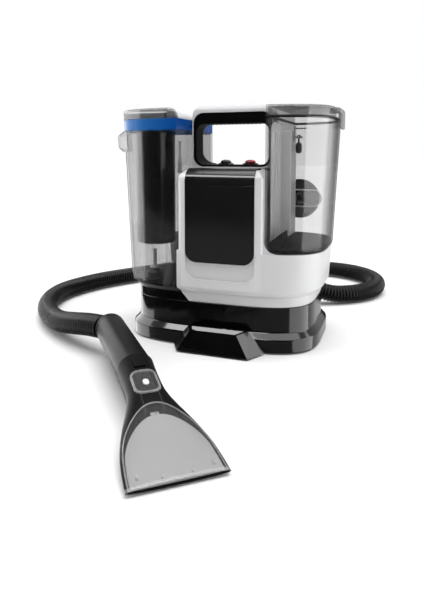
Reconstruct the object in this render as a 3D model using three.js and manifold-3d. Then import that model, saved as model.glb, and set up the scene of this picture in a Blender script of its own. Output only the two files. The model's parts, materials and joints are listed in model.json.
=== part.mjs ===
// Portable spot extractor: a small carpet and upholstery washer with a clean-water tank, a dirty-water
// tank, a pump, a heater and a suction motor in one carried body, and a hose with a hand-held spray tool.
// Millimetres, +X to the machine's right, +Y to its back, +Z up. The origin is on the base's
// underside below the carrying handle, and the base reaches further to the left of it than to the right.
// The machine stands on z = 0 and the spray tool lies on the same floor in front of it.
import * as THREE from 'three';
import { mergeVertices } from 'three/addons/utils/BufferGeometryUtils.js';
import Module from 'manifold-3d';

const wasm = await Module();
wasm.setup();

// ---------------------------------------------------------------- driving dimensions
const OUTLINE_POWER = 3.8;                       // squareness of the bowed outline in plan
const OUTLINE_POINTS = 40;
const OUTLINE_X = -12.5;                         // middle of the bowed outline
const GAP = 0.3;                                 // clearance between pieces that touch
const WALL = 3;                                  // moulded housing wall
const TANK_WALL = 2.4;

const FLANGE = { halfX: 141, halfY: 102.5, top: 19.5 };
const WAIST = { halfX: 133, halfY: 94.5, bottom: 27.5, top: 61 };
const BODY = { skirtTop: 76, bottom: 83, lowHalfX: 144, topHalfX: 147.5, halfY: 99.5, top: 134 };
const TOWER = { halfX: 61.5, front: -99.5, back: 97, top: 247, edge: 20 };
const SPLIT_Y = 20;                              // plane where the front and rear shells meet
const PANEL = { halfX: 49.5, bottom: 118, thick: 2.6, proud: 0.8, back: -62, corner: 16 };
const POCKET = { bottom: 94, depth: 2.4, corner: 17 };

const HANDLE = { halfX: 60.5, top: 338.5, front: -42, back: -12, corner: 18 };
const DECK = { back: 26, top: 253.5, rampTop: 268 };  // button deck behind the handle's foot
const HAND_GAP = { halfX: 54.5, bottom: 251.5, top: 311, corner: 13 };
const INSERT = { halfX: 58.6, bottom: 249.2, top: 326.5, corner: 15 };

const TANK_TOP = 331;
const TANK = { lowZ: 80.2, lowHalfX: 146.2, topHalfX: 158, halfY: 97.5 };
const CLEAN = { inner: -62.8, bottom: 80.2, back: 66, bandLow: 301, bandHigh: 316.5, lidBack: -60, stripX: -80,
  stripY: -89 };
const DIRTY = { inner: 62.8, bottom: 135, corner: 15, lidLow: 316 };
const SIDE_GRIP = { front: -85, back: -20, proud: 12 };  // raised finger grip on the clean tank
const TANK_LIFT_AXIS = { x: -116, y: -57 };      // axis of the valve and of the insert above it

const ELBOW = { x: -48, z: 46.5, radius: 46, outer: 18.5, inner: 13 };
const BUTTON = { x: 19, y: -10, bezelR: 12.2, domeR: 8, wellR: 8.6, bezelTop: 254, domeTop: 259 };
const HOSE = { radius: 15.5, sides: 10, steps: 80 };
const SEAM = { x: -28.5, y: -287.5, z: 36, heading: -49.4 };
const TOOL = { length: 158, slope: 12.7, lipHalf: 44.5 };
const GRIP = { length: 141, slope: 1, radius: 19.5 };

// ---------------------------------------------------------------- materials
const material = (color, roughness, metalness = 0, opacity = 1) => new THREE.MeshStandardMaterial({
  color, roughness, metalness, opacity, transparent: opacity < 1,
});
const white = () => material(0xebebec, 0.38);
const glossBlack = () => material(0x0d0d0d, 0.12);
const satinBlack = () => material(0x1b1b1c, 0.45);
const softBlack = () => material(0x141414, 0.7);
const smoky = () => material(0x8b8b8c, 0.08, 0, 0.35);
const clear = () => material(0xe4e6e8, 0.06, 0, 0.3);
const blue = () => material(0x2273c8, 0.35);
const steel = () => material(0xb9bbbe, 0.3, 0.9);
const copper = () => material(0xa9642f, 0.4, 0.8);

// ---------------------------------------------------------------- geometry helpers
const radians = (degrees) => degrees * Math.PI / 180;
const signedPower = (value, power) => Math.sign(value) * Math.abs(value) ** power;

function bowedOutline(halfX, halfY, count = OUTLINE_POINTS) {
  return Array.from({ length: count }, (_, i) => {
    const t = 2 * Math.PI * i / count;
    return new THREE.Vector2(OUTLINE_X + halfX * signedPower(Math.cos(t), 2 / OUTLINE_POWER),
      halfY * signedPower(Math.sin(t), 2 / OUTLINE_POWER));
  });
}

// Corners run counter-clockwise; radii are given for each corner from (x0, y0) on.
function roundedRectangle(x0, y0, x1, y1, radii, steps = 4) {
  const r = Array.isArray(radii) ? radii : [radii, radii, radii, radii];
  const corners = [[x0 + r[0], y0 + r[0], 180], [x1 - r[1], y0 + r[1], 270],
    [x1 - r[2], y1 - r[2], 0], [x0 + r[3], y1 - r[3], 90]];
  return corners.flatMap(([cx, cy, start], k) => {
    if (r[k] === 0) return [new THREE.Vector2(cx, cy)];
    return Array.from({ length: steps + 1 }, (_, i) => {
      const angle = radians(start + 90 * i / steps);
      return new THREE.Vector2(cx + r[k] * Math.cos(angle), cy + r[k] * Math.sin(angle));
    });
  });
}

function prism(points, low, high) {
  const geometry = new THREE.ExtrudeGeometry(new THREE.Shape(points),
    { depth: high - low, bevelEnabled: false, curveSegments: 6 });
  return geometry.translate(0, 0, low);
}

// A profile in X and Z carried along Y, or in Y and Z carried along X.
const alongY = (points, low, high) => prism(points, -high, -low).rotateX(Math.PI / 2);
const alongX = (points, low, high) => prism(points, low, high).rotateX(Math.PI / 2).rotateZ(Math.PI / 2);

// A closed skin through rings that all have the same number of points, with flat ends.
function loft(rings) {
  const count = rings[0].length;
  const positions = rings.flat().flatMap((p) => [p.x, p.y, p.z]);
  const index = [];
  for (let k = 0; k + 1 < rings.length; k++) {
    for (let i = 0; i < count; i++) {
      const a = k * count + i;
      const b = k * count + (i + 1) % count;
      index.push(a, b, b + count, a, b + count, a + count);
    }
  }
  const last = (rings.length - 1) * count;
  for (let i = 1; i + 1 < count; i++) {
    index.push(0, i + 1, i, last, last + i, last + i + 1);
  }
  const geometry = new THREE.BufferGeometry();
  geometry.setAttribute('position', new THREE.Float32BufferAttribute(positions, 3));
  geometry.setIndex(index);
  return geometry;
}

const level = (points, z) => points.map((p) => new THREE.Vector3(p.x, p.y, z));
const bowedLoft = (levels) => loft(levels.map(([halfX, halfY, z]) => level(bowedOutline(halfX, halfY), z)));

// A turned piece about Z from [radius, height] pairs that start and end on the axis or close on themselves.
function turned(profile, segments = 20) {
  const points = profile.map(([r, z]) => new THREE.Vector2(r, z));
  return new THREE.LatheGeometry(points, segments).rotateX(Math.PI / 2);
}

const disc = (radius, low, high, segments) => turned([[0, low], [radius, low], [radius, high], [0, high]],
  segments);
const ring = (inner, outer, low, high, segments) => turned(
  [[inner, low], [outer, low], [outer, high], [inner, high], [inner, low]], segments);

function block(x0, y0, z0, x1, y1, z1) {
  const geometry = new THREE.BoxGeometry(x1 - x0, y1 - y0, z1 - z0);
  return geometry.translate((x0 + x1) / 2, (y0 + y1) / 2, (z0 + z1) / 2);
}

function sweep(points, radius, sides, steps) {
  const circle = new THREE.Shape(Array.from({ length: sides }, (_, i) => {
    const angle = 2 * Math.PI * (i + 0.5) / sides;
    return new THREE.Vector2(radius * Math.cos(angle), radius * Math.sin(angle));
  }));
  const path = new THREE.CatmullRomCurve3(points.map((p) => new THREE.Vector3(...p)), false, 'centripetal');
  return new THREE.ExtrudeGeometry(circle, { steps, bevelEnabled: false, extrudePath: path });
}

// ---------------------------------------------------------------- solids
function solid(geometry) {
  if (!geometry.isBufferGeometry) return geometry;
  const bare = geometry.clone();
  bare.deleteAttribute('normal');
  bare.deleteAttribute('uv');
  const merged = mergeVertices(bare, 1e-4);
  const triangles = [];
  for (let i = 0; i < merged.index.count; i += 3) {
    const [a, b, c] = [0, 1, 2].map((k) => merged.index.getX(i + k));
    if (a !== b && b !== c && c !== a) triangles.push(a, b, c);
  }
  return new wasm.Manifold(new wasm.Mesh({ numProp: 3,
    vertProperties: new Float32Array(merged.attributes.position.array), triVerts: new Uint32Array(triangles) }));
}

const join = (...shapes) => shapes.map(solid).reduce((a, b) => a.add(b));
const cut = (base, ...tools) => tools.map(solid).reduce((a, b) => a.subtract(b), solid(base));
const common = (...shapes) => shapes.map(solid).reduce((a, b) => a.intersect(b));

function surface(shape) {
  const mesh = solid(shape).getMesh();
  const geometry = new THREE.BufferGeometry();
  geometry.setAttribute('position', new THREE.BufferAttribute(mesh.vertProperties, 3));
  geometry.setIndex(new THREE.BufferAttribute(mesh.triVerts, 1));
  geometry.computeVertexNormals();
  return geometry;
}

const machine = new THREE.Group();
machine.name = 'spot_extractor';

function add(name, shape, look, parent = machine) {
  const mesh = new THREE.Mesh(surface(shape), look);
  mesh.name = name;
  parent.add(mesh);
  return mesh;
}

const FAR = 400;
const halfSpace = {
  leftOf: (x) => block(-FAR, -FAR, -FAR, x, FAR, FAR),
  rightOf: (x) => block(x, -FAR, -FAR, FAR, FAR, FAR),
  before: (y) => block(-FAR, -FAR, -FAR, FAR, y, FAR),
  behind: (y) => block(-FAR, y, -FAR, FAR, FAR, FAR),
};

// ---------------------------------------------------------------- base
const PLATE = { halfX: 136, halfY: 97.5, top: 3.2 };
const PAD = { x: 100, y: 60, radius: 12, top: 5 };
const padPlaces = [['front_left', -1, -1], ['front_right', 1, -1], ['rear_left', -1, 1],
  ['rear_right', 1, 1]].map(([place, sx, sy]) => [place, OUTLINE_X + sx * PAD.x, sy * PAD.y]);

function buildBase() {
  const outer = bowedLoft([[FLANGE.halfX - 1, FLANGE.halfY - 1, 0.6], [FLANGE.halfX, FLANGE.halfY, 2.5],
    [FLANGE.halfX, FLANGE.halfY, FLANGE.top], [WAIST.halfX, WAIST.halfY, WAIST.bottom],
    [WAIST.halfX, WAIST.halfY, WAIST.top]]);
  const seatForPlate = bowedLoft([[PLATE.halfX + GAP, PLATE.halfY + GAP, -5],
    [PLATE.halfX + GAP, PLATE.halfY + GAP, PLATE.top + GAP]]);
  const hollow = bowedLoft([[WAIST.halfX - WALL, WAIST.halfY - WALL, 1],
    [WAIST.halfX - WALL, WAIST.halfY - WALL, WAIST.top - WALL]]);
  const socketHole = disc(7.6, 50, 70).translate(TANK_LIFT_AXIS.x, TANK_LIFT_AXIS.y, 0);
  const shaftWell = block(-40, -42, 50, 40, 42, 70);
  const hoseHole = alongY(roundedRectangle(ELBOW.x - 13, ELBOW.z - 13, ELBOW.x + 13, ELBOW.z + 13, 12.9), 80, 120);
  add('base_shell', cut(outer, seatForPlate, hollow, socketHole, shaftWell, hoseHole), glossBlack());

  const padWells = padPlaces.map(([, x, y]) => disc(PAD.radius + GAP, -1, 10).translate(x, y, 0));
  const plate = bowedLoft([[PLATE.halfX, PLATE.halfY, 0], [PLATE.halfX, PLATE.halfY, PLATE.top]]);
  add('base_plate', cut(plate, ...padWells), satinBlack());
  for (const [place, x, y] of padPlaces) {
    add(`foot_pad_${place}`, disc(PAD.radius, 0, PAD.top).translate(x, y, 0), softBlack());
  }
}

// The lip is a sloping trapezoid plate with a return on each side, open behind.
const LIP = { frontY: -131, topY: -124, low: 2, high: 29.5, bottomHalf: 50, topHalf: 33, returnHalf: 66,
  thick: 3 };

function buildFrontLip() {
  const flangeFace = -FLANGE.halfY - GAP;
  const ringAt = (z, inset) => {
    const t = (z - LIP.low) / (LIP.high - LIP.low);
    const half = THREE.MathUtils.lerp(LIP.bottomHalf, LIP.topHalf, t) - inset;
    const front = THREE.MathUtils.lerp(LIP.frontY, LIP.topY, t) + inset;
    const side = THREE.MathUtils.lerp(LIP.returnHalf, LIP.topHalf + 10, t) - inset;
    const back = inset ? flangeFace + 5 : flangeFace + 0.6;
    return [[-half, front], [half, front], [side, back], [-side, back]].map(([x, y]) =>
      new THREE.Vector3(x, y, z));
  };
  const shell = loft([ringAt(LIP.low, 0), ringAt(LIP.high, 0)]);
  const pocket = loft([ringAt(LIP.low - 3, LIP.thick), ringAt(LIP.high + 3, LIP.thick)]);
  const flangeSpace = bowedLoft([[FLANGE.halfX + GAP, FLANGE.halfY + GAP, -5],
    [FLANGE.halfX + GAP, FLANGE.halfY + GAP, FLANGE.top], [WAIST.halfX + GAP, WAIST.halfY + GAP,
      WAIST.bottom + 1], [WAIST.halfX + GAP, WAIST.halfY + GAP, 60]]);
  const floor = block(-LIP.bottomHalf + 4, LIP.frontY + 4, LIP.low, LIP.bottomHalf - 4, flangeFace + 5,
    LIP.low + LIP.thick);
  add('front_lip', cut(join(cut(shell, pocket), floor), flangeSpace), glossBlack());
}

// ---------------------------------------------------------------- white body
// The skirt ends at a slanting edge on the left, where the black seat of the clean tank rises.
const SLANT = { lowX: -45, highX: -62.2, lowZ: WAIST.top, highZ: 80 };
const slantShape = (shift) => [[SLANT.lowX + shift, SLANT.lowZ - 10], [SLANT.lowX + shift, SLANT.lowZ],
  [SLANT.highX + shift, SLANT.highZ], [SLANT.highX + shift, FAR], [FAR, FAR],
  [FAR, SLANT.lowZ - 10]].map(([x, z]) => new THREE.Vector2(x, z));
const REAR_WRAP_Y = 70;

function towerBlock(inset) {
  const half = TOWER.halfX - inset;
  const top = TOWER.top - inset;
  const front = TOWER.front + inset;
  const back = TOWER.back - inset;
  const edge = TOWER.edge - inset;
  const faceOn = alongY(roundedRectangle(-half, 40, half, top, [0, 0, edge, edge]), -130, 130);
  const sideOn = alongX(roundedRectangle(front, 40, back, top, [0, 0, edge, edge]), -90, 90);
  const planView = prism(roundedRectangle(-half, front, half, back, Math.max(8 - inset, 3)),
    BODY.bottom + inset, top + 10);
  return common(faceOn, sideOn, planView);
}

function lowerBody(inset) {
  const shape = bowedLoft([[WAIST.halfX - inset, WAIST.halfY - inset, WAIST.top + GAP],
    [WAIST.halfX - inset, WAIST.halfY - inset, BODY.skirtTop + inset],
    [BODY.lowHalfX - inset, BODY.halfY - inset, BODY.bottom + inset],
    [BODY.topHalfX - inset, BODY.halfY - inset, BODY.top - inset]]);
  const rightPart = common(shape, alongY(slantShape(inset), -FAR, FAR));
  const rearLeft = common(shape, block(-FAR, REAR_WRAP_Y + inset, SLANT.highZ + GAP + inset, -50, FAR, FAR));
  return join(rightPart, rearLeft);
}

function buildBody() {
  const window = alongY(roundedRectangle(-PANEL.halfX, PANEL.bottom, PANEL.halfX, 300,
    [PANEL.corner, PANEL.corner, 0, 0]), -130, PANEL.back);
  const core = towerBlock(PANEL.thick);
  const recessed = join(cut(towerBlock(0), window), common(core, window));
  const pocket = alongY(roundedRectangle(-PANEL.halfX, POCKET.bottom, PANEL.halfX, PANEL.bottom + 20,
    [POCKET.corner, POCKET.corner, 0, 0]), -130, TOWER.front + POCKET.depth);
  const drop = block(-48, -48, 40, 48, 48, BODY.bottom + 20);
  const hollow = join(towerBlock(WALL + PANEL.thick), lowerBody(WALL + 1), drop);
  const buttonHoles = [-1, 1].map((side) => disc(6, 230, 260).translate(side * BUTTON.x, BUTTON.y, 0));
  const motorOutlet = alongY(roundedRectangle(-30, 150, 30, 190, 8), 80, 120);
  const ductHole = alongX(roundedRectangle(-13, 205, 13, 233, 0.5), 40, 80);
  const cradle = bowedLoft([[BODY.topHalfX - 8, TANK.halfY - 6, 126], [BODY.topHalfX - 3, TANK.halfY - 2,
    140]]);
  const cradleDish = common(cradle, halfSpace.rightOf(DIRTY.inner + 3));
  const cornerFill = cut(common(tankOutline(0.5, 130, 155), block(TOWER.halfX - 2, -FAR, 131,
    DIRTY.inner + DIRTY.corner - 1.5, FAR, DIRTY.bottom + DIRTY.corner - 1.5)), dirtySide(-GAP));
  const whole = join(cut(join(recessed, lowerBody(0)), cut(hollow, block(DIRTY.inner, -FAR, 121, FAR, FAR, 140)),
    cradleDish, pocket, ...buttonHoles, motorOutlet, ductHole), cornerFill);
  add('body_front_shell', common(whole, halfSpace.before(SPLIT_Y - GAP / 2)), white());
  add('body_rear_shell', common(whole, halfSpace.behind(SPLIT_Y + GAP / 2)), white());

  const sideProfile = (proud) => alongX(roundedRectangle(TOWER.front - proud, 40, TOWER.back, TOWER.top + proud,
    [0, 0, TOWER.edge, TOWER.edge]), -PANEL.halfX + GAP, PANEL.halfX - GAP);
  const bedProfile = towerBlock(PANEL.thick - GAP);
  const panelWindow = alongY(roundedRectangle(-PANEL.halfX + GAP, PANEL.bottom + GAP, PANEL.halfX - GAP, 300,
    [PANEL.corner, PANEL.corner, 0, 0]), -130, PANEL.back - GAP);
  add('front_panel', cut(common(sideProfile(PANEL.proud), panelWindow), bedProfile), glossBlack());

  const vent = [];
  for (let k = 0; k < 5; k++) vent.push(alongY(roundedRectangle(-24, 154 + 7 * k, 24, 157 + 7 * k, 1), 80, 120));
  const grille = alongY(roundedRectangle(-30 + GAP, 150 + GAP, 30 - GAP, 190 - GAP, 8), TOWER.back - 3,
    TOWER.back);
  add('exhaust_grille', cut(grille, ...vent), satinBlack());
}

// ---------------------------------------------------------------- carrying handle
// Seen from the side, the handle is a narrow upright arch whose foot widens to the button deck behind it.
function handleProfile(inset) {
  const arch = alongX(roundedRectangle(HANDLE.front + inset, 200, HANDLE.back - inset, HANDLE.top,
    [0, 0, 10 - inset, 10 - inset], 3), -90, 90);
  const deck = alongX([[HANDLE.front + inset, 200], [DECK.back - inset, 200], [DECK.back - inset, DECK.top],
    [HANDLE.back - inset, DECK.rampTop], [HANDLE.front + inset, DECK.rampTop]].map(([y, z]) =>
    new THREE.Vector2(y, z)), -90, 90);
  return join(arch, deck);
}

function buildHandle() {
  const outer = alongY(roundedRectangle(-HANDLE.halfX, TOWER.top + GAP, HANDLE.halfX, HANDLE.top,
    [0, 0, HANDLE.corner, HANDLE.corner], 6), HANDLE.front, DECK.back);
  const seat = alongY(roundedRectangle(-INSERT.halfX - GAP, INSERT.bottom - GAP, INSERT.halfX + GAP,
    INSERT.top + GAP, INSERT.corner, 5), -FAR, FAR);
  const wells = [-1, 1].map((side) => disc(BUTTON.wellR, 230, 260).translate(side * BUTTON.x, BUTTON.y, 0));
  add('handle_shell', cut(common(outer, handleProfile(0)), seat, ...wells), white());

  const lining = alongY(roundedRectangle(-INSERT.halfX, INSERT.bottom, INSERT.halfX, INSERT.top, INSERT.corner, 5),
    HANDLE.front, DECK.back);
  const gap = alongY(roundedRectangle(-HAND_GAP.halfX, HAND_GAP.bottom, HAND_GAP.halfX, HAND_GAP.top,
    HAND_GAP.corner, 5), -FAR, FAR);
  add('handle_lining', cut(common(lining, handleProfile(1)), gap, ...wells), satinBlack());
}

// ---------------------------------------------------------------- buttons and switches
function buildControls() {
  const controls = [['power', -1, 0x2a2a2b], ['heat', 1, 0xd8353f]];
  for (const [name, side, color] of controls) {
    const [x, y] = [side * BUTTON.x, BUTTON.y];
    const floor = HAND_GAP.bottom + GAP;
    const bezel = turned([[BUTTON.domeR + 0.5, floor], [BUTTON.bezelR, floor], [BUTTON.bezelR - 1, 252.6],
      [BUTTON.domeR + 2.2, BUTTON.bezelTop], [BUTTON.domeR + 0.5, BUTTON.bezelTop],
      [BUTTON.domeR + 0.5, floor]]);
    add(`${name}_button_bezel`, bezel.translate(x, y, 0), glossBlack());
    const dome = turned([[0, 238], [4, 238], [4, 252.4], [BUTTON.domeR, 254.4], [BUTTON.domeR, 256],
      [BUTTON.domeR - 2.5, 258.2], [0, BUTTON.domeTop]]);
    add(`${name}_button`, dome.translate(x, y, 0), material(color, 0.3));
    const switchBody = join(block(-9, -9, 218, 9, 9, 231), disc(3, 230, 234));
    add(`${name}_switch`, switchBody.translate([x, y, 0]), satinBlack());
  }
  const components = [[-30, 160, 12], [-8, 172, 9], [14, 158, 11], [28, 190, 8]];
  const board = join(block(-38, -86, 150, 38, -84.4, 212),
    ...components.map(([x, z, size]) => block(x - size / 2, -84.8, z, x + size / 2, -84.4 + size, z + size)));
  add('circuit_board', board, material(0x1f5a3a, 0.5));
}

// ---------------------------------------------------------------- suction motor, pump and heater
function buildWorks() {
  const motorY = 2;
  const housing = turned([[14, 100], [46, 100], [46, 124], [34, 130], [34, 178], [0, 178], [0, 175], [31, 175],
    [31, 127], [8, 127], [8, 121], [43, 121], [43, 103], [14, 103], [14, 100]], 24);
  add('suction_motor_housing', housing.translate(0, motorY, 0), satinBlack());
  const fan = turned([[0, 105], [12, 105], [40, 108], [40, 118.5], [6, 118.5], [6, 132], [24, 132], [24, 170],
    [0, 170]], 24);
  add('suction_fan_rotor', fan.translate(0, motorY, 0), steel());
  const mount = turned([[20, 91.5], [47, 91.5], [47, 99.7], [20, 99.7], [20, 91.5]], 24);
  add('motor_mount_ring', mount.translate(0, motorY, 0), softBlack());
  const bracket = cut(block(-44, -46, 61.3, 44, 47, 91.2), block(-41, -60, 50, 41, 60, 88),
    disc(16, 80, 100).translate(0, motorY, 0));
  add('motor_bracket', bracket, satinBlack());

  const duct = cut(block(30, -12, 206, DIRTY.inner - 1.3, 12, 232), block(33, -9.5, 208.5, 90, 9.5, 229.5),
    block(33, -9.5, 190, 46, 9.5, 212));
  add('suction_duct', duct, satinBlack());

  const pumpBody = join(alongX(roundedRectangle(-56, 12, -20, 48, 17, 4), -96, -48),
    block(-92, -52, 5.5, -52, -24, 14), disc(5, 40, 54).translate(-84, -38, 0));
  add('water_pump', pumpBody, satinBlack());
  const heater = join(block(20, -60, 5.5, 102, -18, 30), alongX(roundedRectangle(-44, 22, -34, 40, 4), 12, 110));
  add('heater_block', heater, copper());
}

// ---------------------------------------------------------------- clean tank and its seat
function cleanOutline(inset) {
  return prism(roundedRectangle(-FAR, -FAR, CLEAN.inner - inset, CLEAN.back - inset, [0, 12, 16, 0], 4), 0, 380);
}

// Both tanks share one bowed outline, which widens a little from the bottom to the top.
const tankHalfX = (z) => THREE.MathUtils.mapLinear(z, TANK.lowZ, TANK_TOP, TANK.lowHalfX, TANK.topHalfX);

function tankOutline(inset, low, high) {
  const at = (z) => tankHalfX(z) - inset;
  return bowedLoft([[at(low), TANK.halfY - inset, low], [at(high), TANK.halfY - inset, high]]);
}

// Seen from the front, the dirty tank's lower inner corner is rounded and the body fills the space under it.
const dirtySide = (inset) => alongY(roundedRectangle(DIRTY.inner + inset, DIRTY.bottom + inset, FAR, FAR,
  [DIRTY.corner - inset, 0, 0, 0], 5), -FAR, FAR);

const cleanVolume = (inset, low, high) => common(tankOutline(inset, low, high), cleanOutline(inset));

function buildCleanSeat() {
  const seat = common(bowedLoft([[WAIST.halfX, WAIST.halfY, WAIST.top + GAP], [WAIST.halfX, WAIST.halfY, 74],
    [WAIST.halfX + 6, WAIST.halfY + 3, SLANT.highZ - GAP]]),
    cut(block(-FAR, -FAR, 0, 0, FAR, 120), alongY(slantShape(-GAP * 2), -FAR, FAR)));
  const under = bowedLoft([[WAIST.halfX - WALL, WAIST.halfY - WALL, 50], [WAIST.halfX - WALL, WAIST.halfY - WALL,
    76]]);
  const socket = disc(9, 60, 90).translate(TANK_LIFT_AXIS.x, TANK_LIFT_AXIS.y, 0);
  add('clean_tank_seat', cut(seat, common(under, halfSpace.leftOf(-66)), socket), glossBlack());
  const insertRing = ring(6.2, 8.6, 66, 78.5, 16);
  const stem = ring(6.2, 7.2, 42, 66.4, 16);
  add('water_inlet_socket', join(insertRing, stem).translate([TANK_LIFT_AXIS.x, TANK_LIFT_AXIS.y, 0]),
    softBlack());
}

function buildCleanTank() {
  const { x, y } = TANK_LIFT_AXIS;
  const floorHole = disc(6, 70, 95).translate(x, y, 0);
  const gripAt = (proud, z) => [tankHalfX(z) + proud, TANK.halfY, z];
  const sideGrip = common(bowedLoft([gripAt(5, 271), gripAt(SIDE_GRIP.proud, 277), gripAt(SIDE_GRIP.proud, 294),
    gripAt(2, CLEAN.bandLow - GAP)]), block(-FAR, SIDE_GRIP.front, 0, -100, SIDE_GRIP.back, FAR));
  const outer = join(cleanVolume(0, CLEAN.bottom, CLEAN.bandLow - GAP), sideGrip);
  const shell = cut(outer, cleanVolume(TANK_WALL, CLEAN.bottom + TANK_WALL, CLEAN.bandLow + 10), floorHole);
  add('clean_tank_shell', shell, clear());

  const band = cut(join(cleanVolume(0, CLEAN.bandLow, CLEAN.bandHigh),
    cleanVolume(TANK_WALL + GAP, CLEAN.bandLow - 5, CLEAN.bandLow + 1)),
  cleanVolume(TANK_WALL + 3, CLEAN.bandLow - 10, CLEAN.bandHigh + 5));
  add('clean_tank_band', band, blue());

  const capPlan = (grow) => join(halfSpace.behind(CLEAN.lidBack - grow),
    block(CLEAN.stripX - grow, CLEAN.stripY - grow, -FAR, FAR, FAR, FAR));
  const capSpan = common(cleanVolume(0, CLEAN.bandHigh + GAP, TANK_TOP - 4), capPlan(0));
  const capHollow = common(cleanVolume(TANK_WALL, CLEAN.bandHigh - 4, TANK_TOP - 7), capPlan(-TANK_WALL));
  add('clean_tank_cap', cut(capSpan, capHollow), material(0xf2f2f2, 0.4, 0, 0.85));
  const lidSpan = cut(cleanVolume(0, CLEAN.bandHigh + GAP, TANK_TOP), capPlan(GAP));
  const lidHollow = cut(cleanVolume(TANK_WALL, CLEAN.bandHigh - 4, TANK_TOP - TANK_WALL),
    capPlan(GAP + TANK_WALL));
  add('clean_tank_lid', cut(lidSpan, lidHollow), clear());

  const insert = turned([[0, 135], [28, 135], [29, 138], [29, 292], [26, 292], [26, 138.5], [0, 138.5]], 24);
  add('clean_tank_insert', insert.translate(x - 1, y + 9, 0), glossBlack());
  const valve = turned([[4.4, 74], [5.6, 74], [5.6, 83], [13, 83], [13, 92], [10, 96], [4.4, 96], [4.4, 74]], 16);
  add('tank_valve_housing', valve.translate(x, y, 0), satinBlack());
  const plunger = turned([[0, 71], [3.6, 71], [3.6, 97], [7, 97], [7, 100], [3, 102], [3, 126], [0, 126]], 16);
  add('tank_valve_plunger', plunger.translate(x, y, 0), material(0x9a9c9e, 0.4));
}

// ---------------------------------------------------------------- dirty tank
const dirtyVolume = (inset, low, high) => common(tankOutline(inset, low, high), dirtySide(inset));

function buildDirtyTank() {
  const floorZ = DIRTY.bottom + TANK_WALL;
  const inletHole = alongX(roundedRectangle(-9, 203, 9, 229, 4), 50, 75);
  const shell = cut(dirtyVolume(0, DIRTY.bottom, DIRTY.lidLow - GAP),
    dirtyVolume(TANK_WALL, floorZ, DIRTY.lidLow + 10), inletHole);
  add('dirty_tank_shell', shell, smoky());
  add('dirty_tank_floor', dirtyVolume(TANK_WALL + GAP, floorZ + GAP, 141), softBlack());

  const seal = cut(join(dirtyVolume(0, DIRTY.lidLow, DIRTY.lidLow + 1.6),
    dirtyVolume(TANK_WALL + GAP, DIRTY.lidLow - 4, DIRTY.lidLow + 1)),
  dirtyVolume(TANK_WALL + 3, DIRTY.lidLow - 8, DIRTY.lidLow + 4));
  add('dirty_tank_seal', seal, softBlack());
  const lidLow = DIRTY.lidLow + 1.6 + GAP;
  const latchNotch = block(136, -26, lidLow - 1, 190, 26, TANK_TOP + 2);
  const lid = cut(dirtyVolume(0, lidLow, TANK_TOP), dirtyVolume(TANK_WALL, lidLow - 2, TANK_TOP - TANK_WALL),
    latchNotch);
  add('dirty_tank_lid', lid, smoky());
  const latch = alongY([[136.6, 326], [136.6, 330.6], [148, 330.6], [151, 327], [151, 304], [147.4, 302],
    [147, 325]].map(([px, pz]) => new THREE.Vector2(px, pz)), -24, 24);
  add('dirty_tank_spout_latch', latch, smoky());

  const separator = cut(block(66, -20, 150, 81.5, 20, 300), block(68.5, -17.5, 140, 79, 17.5, 297),
    block(60, -8, 203, 75, 8, 229));
  add('separator_duct', separator, smoky());
  buildFloat();

  // The port plate is a disc cut flat by the tank's inner wall, on a stem from the rear wall.
  const faceY = 72;
  const plate = alongY(roundedRectangle(47.1, 166.1, 108.9, 227.9, 30.8, 8), faceY, faceY + 4);
  const ridge = alongY(roundedRectangle(48, 184, 112, 212, 13.9, 5), faceY - 2.5, faceY + 2);
  const stem = alongY(roundedRectangle(70, 190, 90, 206, 7.9, 4), faceY + 3, TANK.halfY - TANK_WALL - 1.4);
  const mouth = alongY(roundedRectangle(68.5, 188.5, 87.5, 207.5, 9.4, 5), faceY - 10, faceY + 1);
  add('tank_hose_port', common(cut(join(plate, ridge, stem), mouth), dirtyVolume(TANK_WALL + 0.8, 150, 300)),
    satinBlack());
}

// A float rises on its stem in a small arm and shuts off the suction when the tank is full.
const FLOAT = { x: 88.5, radius: 4.6, low: 268, high: 284, armLow: 290, armHigh: 293 };

function buildFloat() {
  const arm = join(block(81.8, -4, 286, 84, 4, 308), block(83, -4, FLOAT.armLow, 94, 4, FLOAT.armHigh),
    block(83, -1.2, 303, 99, 1.2, 305));
  const stemHole = disc(1.7, 280, 300, 12).translate(FLOAT.x, 0, 0);
  add('float_guide', cut(arm, stemHole), steel());
  const float = turned([[0, FLOAT.low], [2.6, FLOAT.low + 0.6], [FLOAT.radius, FLOAT.low + 3.5],
    [FLOAT.radius, FLOAT.high - 3.5], [2.6, FLOAT.high - 0.6], [1.3, FLOAT.high], [1.3, 293.4], [2.5, 293.4],
    [2.5, 295], [0, 295]], 16);
  add('shutoff_float', float.translate(FLOAT.x, 0, 0), softBlack());
}

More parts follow.
